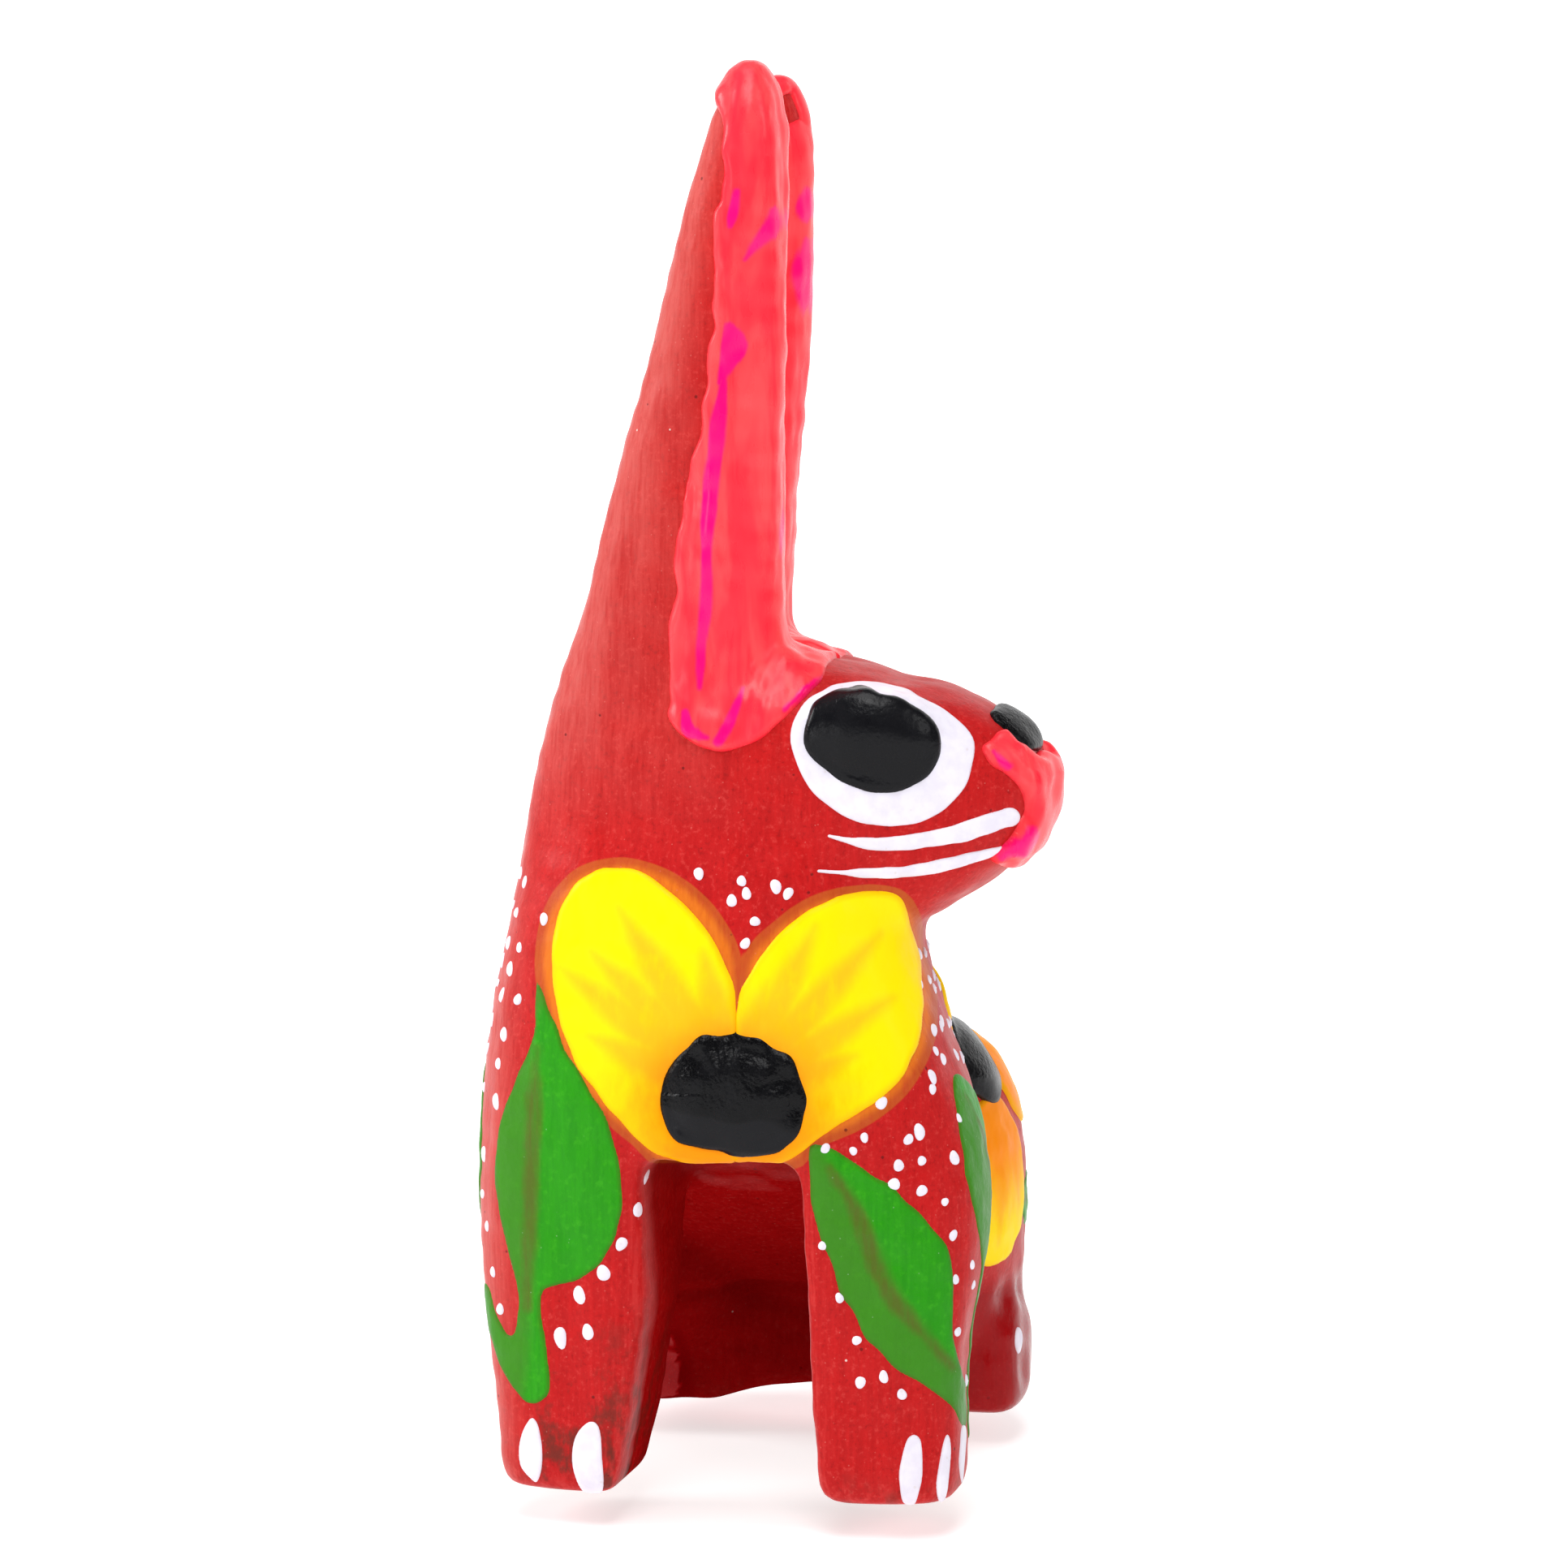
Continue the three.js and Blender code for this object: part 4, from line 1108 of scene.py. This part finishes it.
ROUND_PETAL = outline((0, 2.6), (2.8, 4.6), (4.5, 8.2), (4.7, 11.6), (2.8, 14.4), (0, 15.4), (-2.8, 14.4),
                      (-4.7, 11.6), (-4.5, 8.2), (-2.8, 4.6))
PETAL_STROKES = together(*[flame(tip, width=2.0) for tip in ((-2.9, 11.0), (0.1, 13.6), (2.8, 11.4))])
LONG_LEAF = outline((0, 0), (2.4, 3.0), (3.6, 7.5), (2.8, 12.0), (0, 16.5), (-2.8, 12.0), (-3.6, 7.5),
                    (-2.4, 3.0))
LONG_VEIN = stroke((0, 0.5, 0.9), (0, 7.0, 0.9), (0, 14.5, 0.3))
LONG_BRIGHT = outline((0, 0), (6, 3), (6, 14), (0, 17))
SHOULDER_LEAF = outline(
    (-19.0, 34.2), (-14.5, 32.6), (-10.2, 28.6), (-7.6, 23.8), (-8.3, 20.2), (-11.5, 18.0), (-14.2, 16.8),
    (-15.2, 13.6), (-15.6, 9.6), (-16.2, 5.4), (-17.6, 4.4), (-18.4, 8.0), (-18.2, 13.4), (-18.6, 18.6),
    (-20.6, 22.0), (-21.8, 26.0), (-21.0, 30.6),
)
SHOULDER_VEIN = stroke((-18.2, 32.4, 0.2), (-15.6, 27.0, 1.0), (-16.2, 20.0, 0.9), (-17.0, 9.0, 0.4))
SHOULDER_BRIGHT = outline((-19, 36), (-6, 34), (-6, 16), (-15, 4), (-16.6, 10), (-16.2, 20), (-15.6, 27))
HAUNCH_HEART = np.array([10.6, 31.6])
HAUNCH_PETALS = ((30, 0.82), (-40, 0.78), (-108, 0.88), (178, 1.18), (112, 0.84))  # turn and scale


def scattered(lows, highs, spacing, jitter, seed):
    """Places on a loose grid, as a painter dabs dots to fill a patch."""
    rng = np.random.default_rng(seed)
    return [(u + rng.uniform(-jitter, jitter), v + rng.uniform(-jitter, jitter))
            for u in np.arange(lows[0], highs[0], spacing) for v in np.arange(lows[1], highs[1], spacing)]


def flanks():
    turns = np.arange(10) * math.tau / 10
    bud = outline(*[HAUNCH_HEART + 4.2 * np.array([math.cos(a), math.sin(a)]) for a in turns])
    for side, plane, sign in (("right", RIGHT_FLANK, -1), ("left", LEFT_FLANK, 1)):
        for number, (turn, scale) in enumerate(HAUNCH_PETALS, 1):
            shape, strokes = (moved(s, HAUNCH_HEART, turn, scale) for s in (ROUND_PETAL, PETAL_STROKES))
            petal(f"{side}_haunch_petal_{number}", plane, shape, strokes, HAUNCH_HEART, thickness=0.34)
        film(f"{side}_haunch_flower_middle", on(plane, bud), BLACK, "black_paint", 0.5, 0.6, wobble=0.08,
             levels=2, crown=0.3, crown_reach=3.4, marks=lambda p: p[:, 2] - 29.6,
             replaces=[f"{side}_flank_flower_centre"])
        for number, (u, v, turn, scale) in enumerate(((15.0, 18.4, -97, 0.66), (1.6, 22.0, 150, 0.6)), 1):
            drawn = (moved(s, (u, v), turn, scale) for s in (LONG_LEAF, LONG_VEIN, LONG_BRIGHT))
            leaf(f"{side}_haunch_leaf_{number}", plane, *drawn)
        leaf(f"{side}_shoulder_leaf", plane, SHOULDER_LEAF, SHOULDER_VEIN, SHOULDER_BRIGHT)
        dots(f"{side}_shoulder_side_dots", plane, scattered((-19, 35.5), (-7, 45), 2.7, 0.8, 31 + sign),
             size=0.5, seed=40 + sign)
        dots(f"{side}_foreleg_side_dots", plane, scattered((-14.4, 4), (-12, 15), 2.5, 0.5, 51 + sign),
             size=0.5, seed=50 + sign)
        white_mark(f"{side}_hind_nail_outer", plane, oval(13.9, 6.3, 0.8, 1.2))
    white_mark("left_hind_nail_front", FRONT_OF_HIND_FEET, oval(21.8, 9.3, 0.6, 1.2))


def back():
    for side, sign in (("right", 1), ("left", -1)):
        place = (sign * 1.6 - BODY_MIDDLE_X, 22.5)
        drawn = (moved(s, place, -sign * 38, 0.7) for s in (LONG_LEAF, LONG_VEIN, LONG_BRIGHT))
        leaf(f"back_leaf_{side}", BACK, *drawn)
    places = [(0.6 + 0.5 * math.sin(k * 2.1), 18.5 - 2.3 * k) for k in range(3)]
    places += [(0.6 + sign * (3.4 + 0.5 * k), 37 - 2.5 * k) for sign in (-1, 1) for k in range(-2, 3)]
    dots("back_dots", BACK, places, size=0.55, seed=61)


wood_pieces()
chest()
toenails()
face()
nose_and_lips()
ear_linings()
flanks()
back()
for node in PEGS:
    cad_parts[node].data.materials.clear()
    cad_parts[node].data.materials.append(BARE)

# ---------------------------------------------------------------- camera, floor and light


def camera():
    data = bpy.data.cameras.new("camera")
    azimuth, elevation, distance = math.radians(12), math.radians(6), 0.520
    half_width = 0.0649  # what the frame takes in to each side of the aim, at the aim's distance
    data.sensor_width = 36
    data.lens = 18 * distance / half_width
    aim = Vector((np.array([2, -5, 56]) + DRAWING_ORIGIN) * MM)
    back = Vector((math.sin(azimuth) * math.cos(elevation), -math.cos(azimuth) * math.cos(elevation),
                   math.sin(elevation)))
    data.clip_start, data.clip_end = 0.01, 10
    eye = bpy.data.objects.new("camera", data)
    eye.location = aim + back * distance
    eye.rotation_mode = "QUATERNION"
    eye.rotation_quaternion = (-back).to_track_quat("-Z", "Y")
    bpy.context.scene.collection.objects.link(eye)
    bpy.context.scene.camera = eye


FLOOR_GLOW = 0.62  # under the figure
BACKDROP_GLOW = 0.85  # far from it, where the sheet's glow stands in for lamps of its own


def floor():
    """A white sheet that lies flat under the figure and sweeps up behind it."""
    profile = [(-1.5, 0), (0.6, 0), (0.9, 0.04), (1.15, 0.18), (1.3, 0.45), (1.35, 1.6)]
    curve = smooth_curve(profile)
    points = [(x, y, z) for x in (-1.8, 1.8) for y, z in curve]
    count = len(curve)
    faces = [(i, i + 1, count + i + 1, count + i) for i in range(count - 1)]
    mesh = bpy.data.meshes.new("floor")
    mesh.from_pydata(points, [], faces)
    mesh.shade_smooth()
    paint = Paint("floor_paper", roughness=0.9)
    away = paint.nodes.new("ShaderNodeVectorMath")
    away.operation = "LENGTH"
    paint.links.new(paint.place, away.inputs[0])
    # Painted light: the sheet glows, dimmer under the figure and brighter far from it.
    glow = paint.step(away.outputs["Value"], 0.10, 0.45, FLOOR_GLOW, BACKDROP_GLOW)
    paint.set(Emission_Color=(1.0, 1.0, 1.0), Emission_Strength=glow, Specular_IOR_Level=0.1)
    mesh.materials.append(paint.set(Base_Color=(0.66, 0.66, 0.66)))
    sheet = bpy.data.objects.new("floor", mesh)
    bpy.context.scene.collection.objects.link(sheet)


def softbox(name, place, power, size):
    data = bpy.data.lights.new(name, "AREA")
    data.shape = "DISK"
    data.size, data.energy = size, power
    light = bpy.data.objects.new(name, data)
    light.location = place
    light.rotation_mode = "QUATERNION"
    light.rotation_quaternion = (Vector((0, 0, 0.055)) - light.location).to_track_quat("-Z", "Y")
    bpy.context.scene.collection.objects.link(light)


def lights():
    softbox("front_top", (0.12, -0.62, 0.80), 3.3, 0.36)
    softbox("front_left", (-0.40, -0.85, 0.12), 0.5, 0.12)
    softbox("left", (-0.85, -0.20, 0.50), 6.2, 0.5)
    softbox("right", (0.9, -0.35, 0.5), 1.6, 0.4)
    softbox("overhead", (0.0, -0.25, 1.1), 6.2, 0.7)
    world = bpy.data.worlds.new("studio")
    world.use_nodes = True
    world.node_tree.nodes["Background"].inputs["Color"].default_value = (1, 1, 1, 1)
    world.node_tree.nodes["Background"].inputs["Strength"].default_value = 0.12
    bpy.context.scene.world = world
    bpy.context.scene.view_settings.view_transform = "Standard"


camera()
floor()
lights()
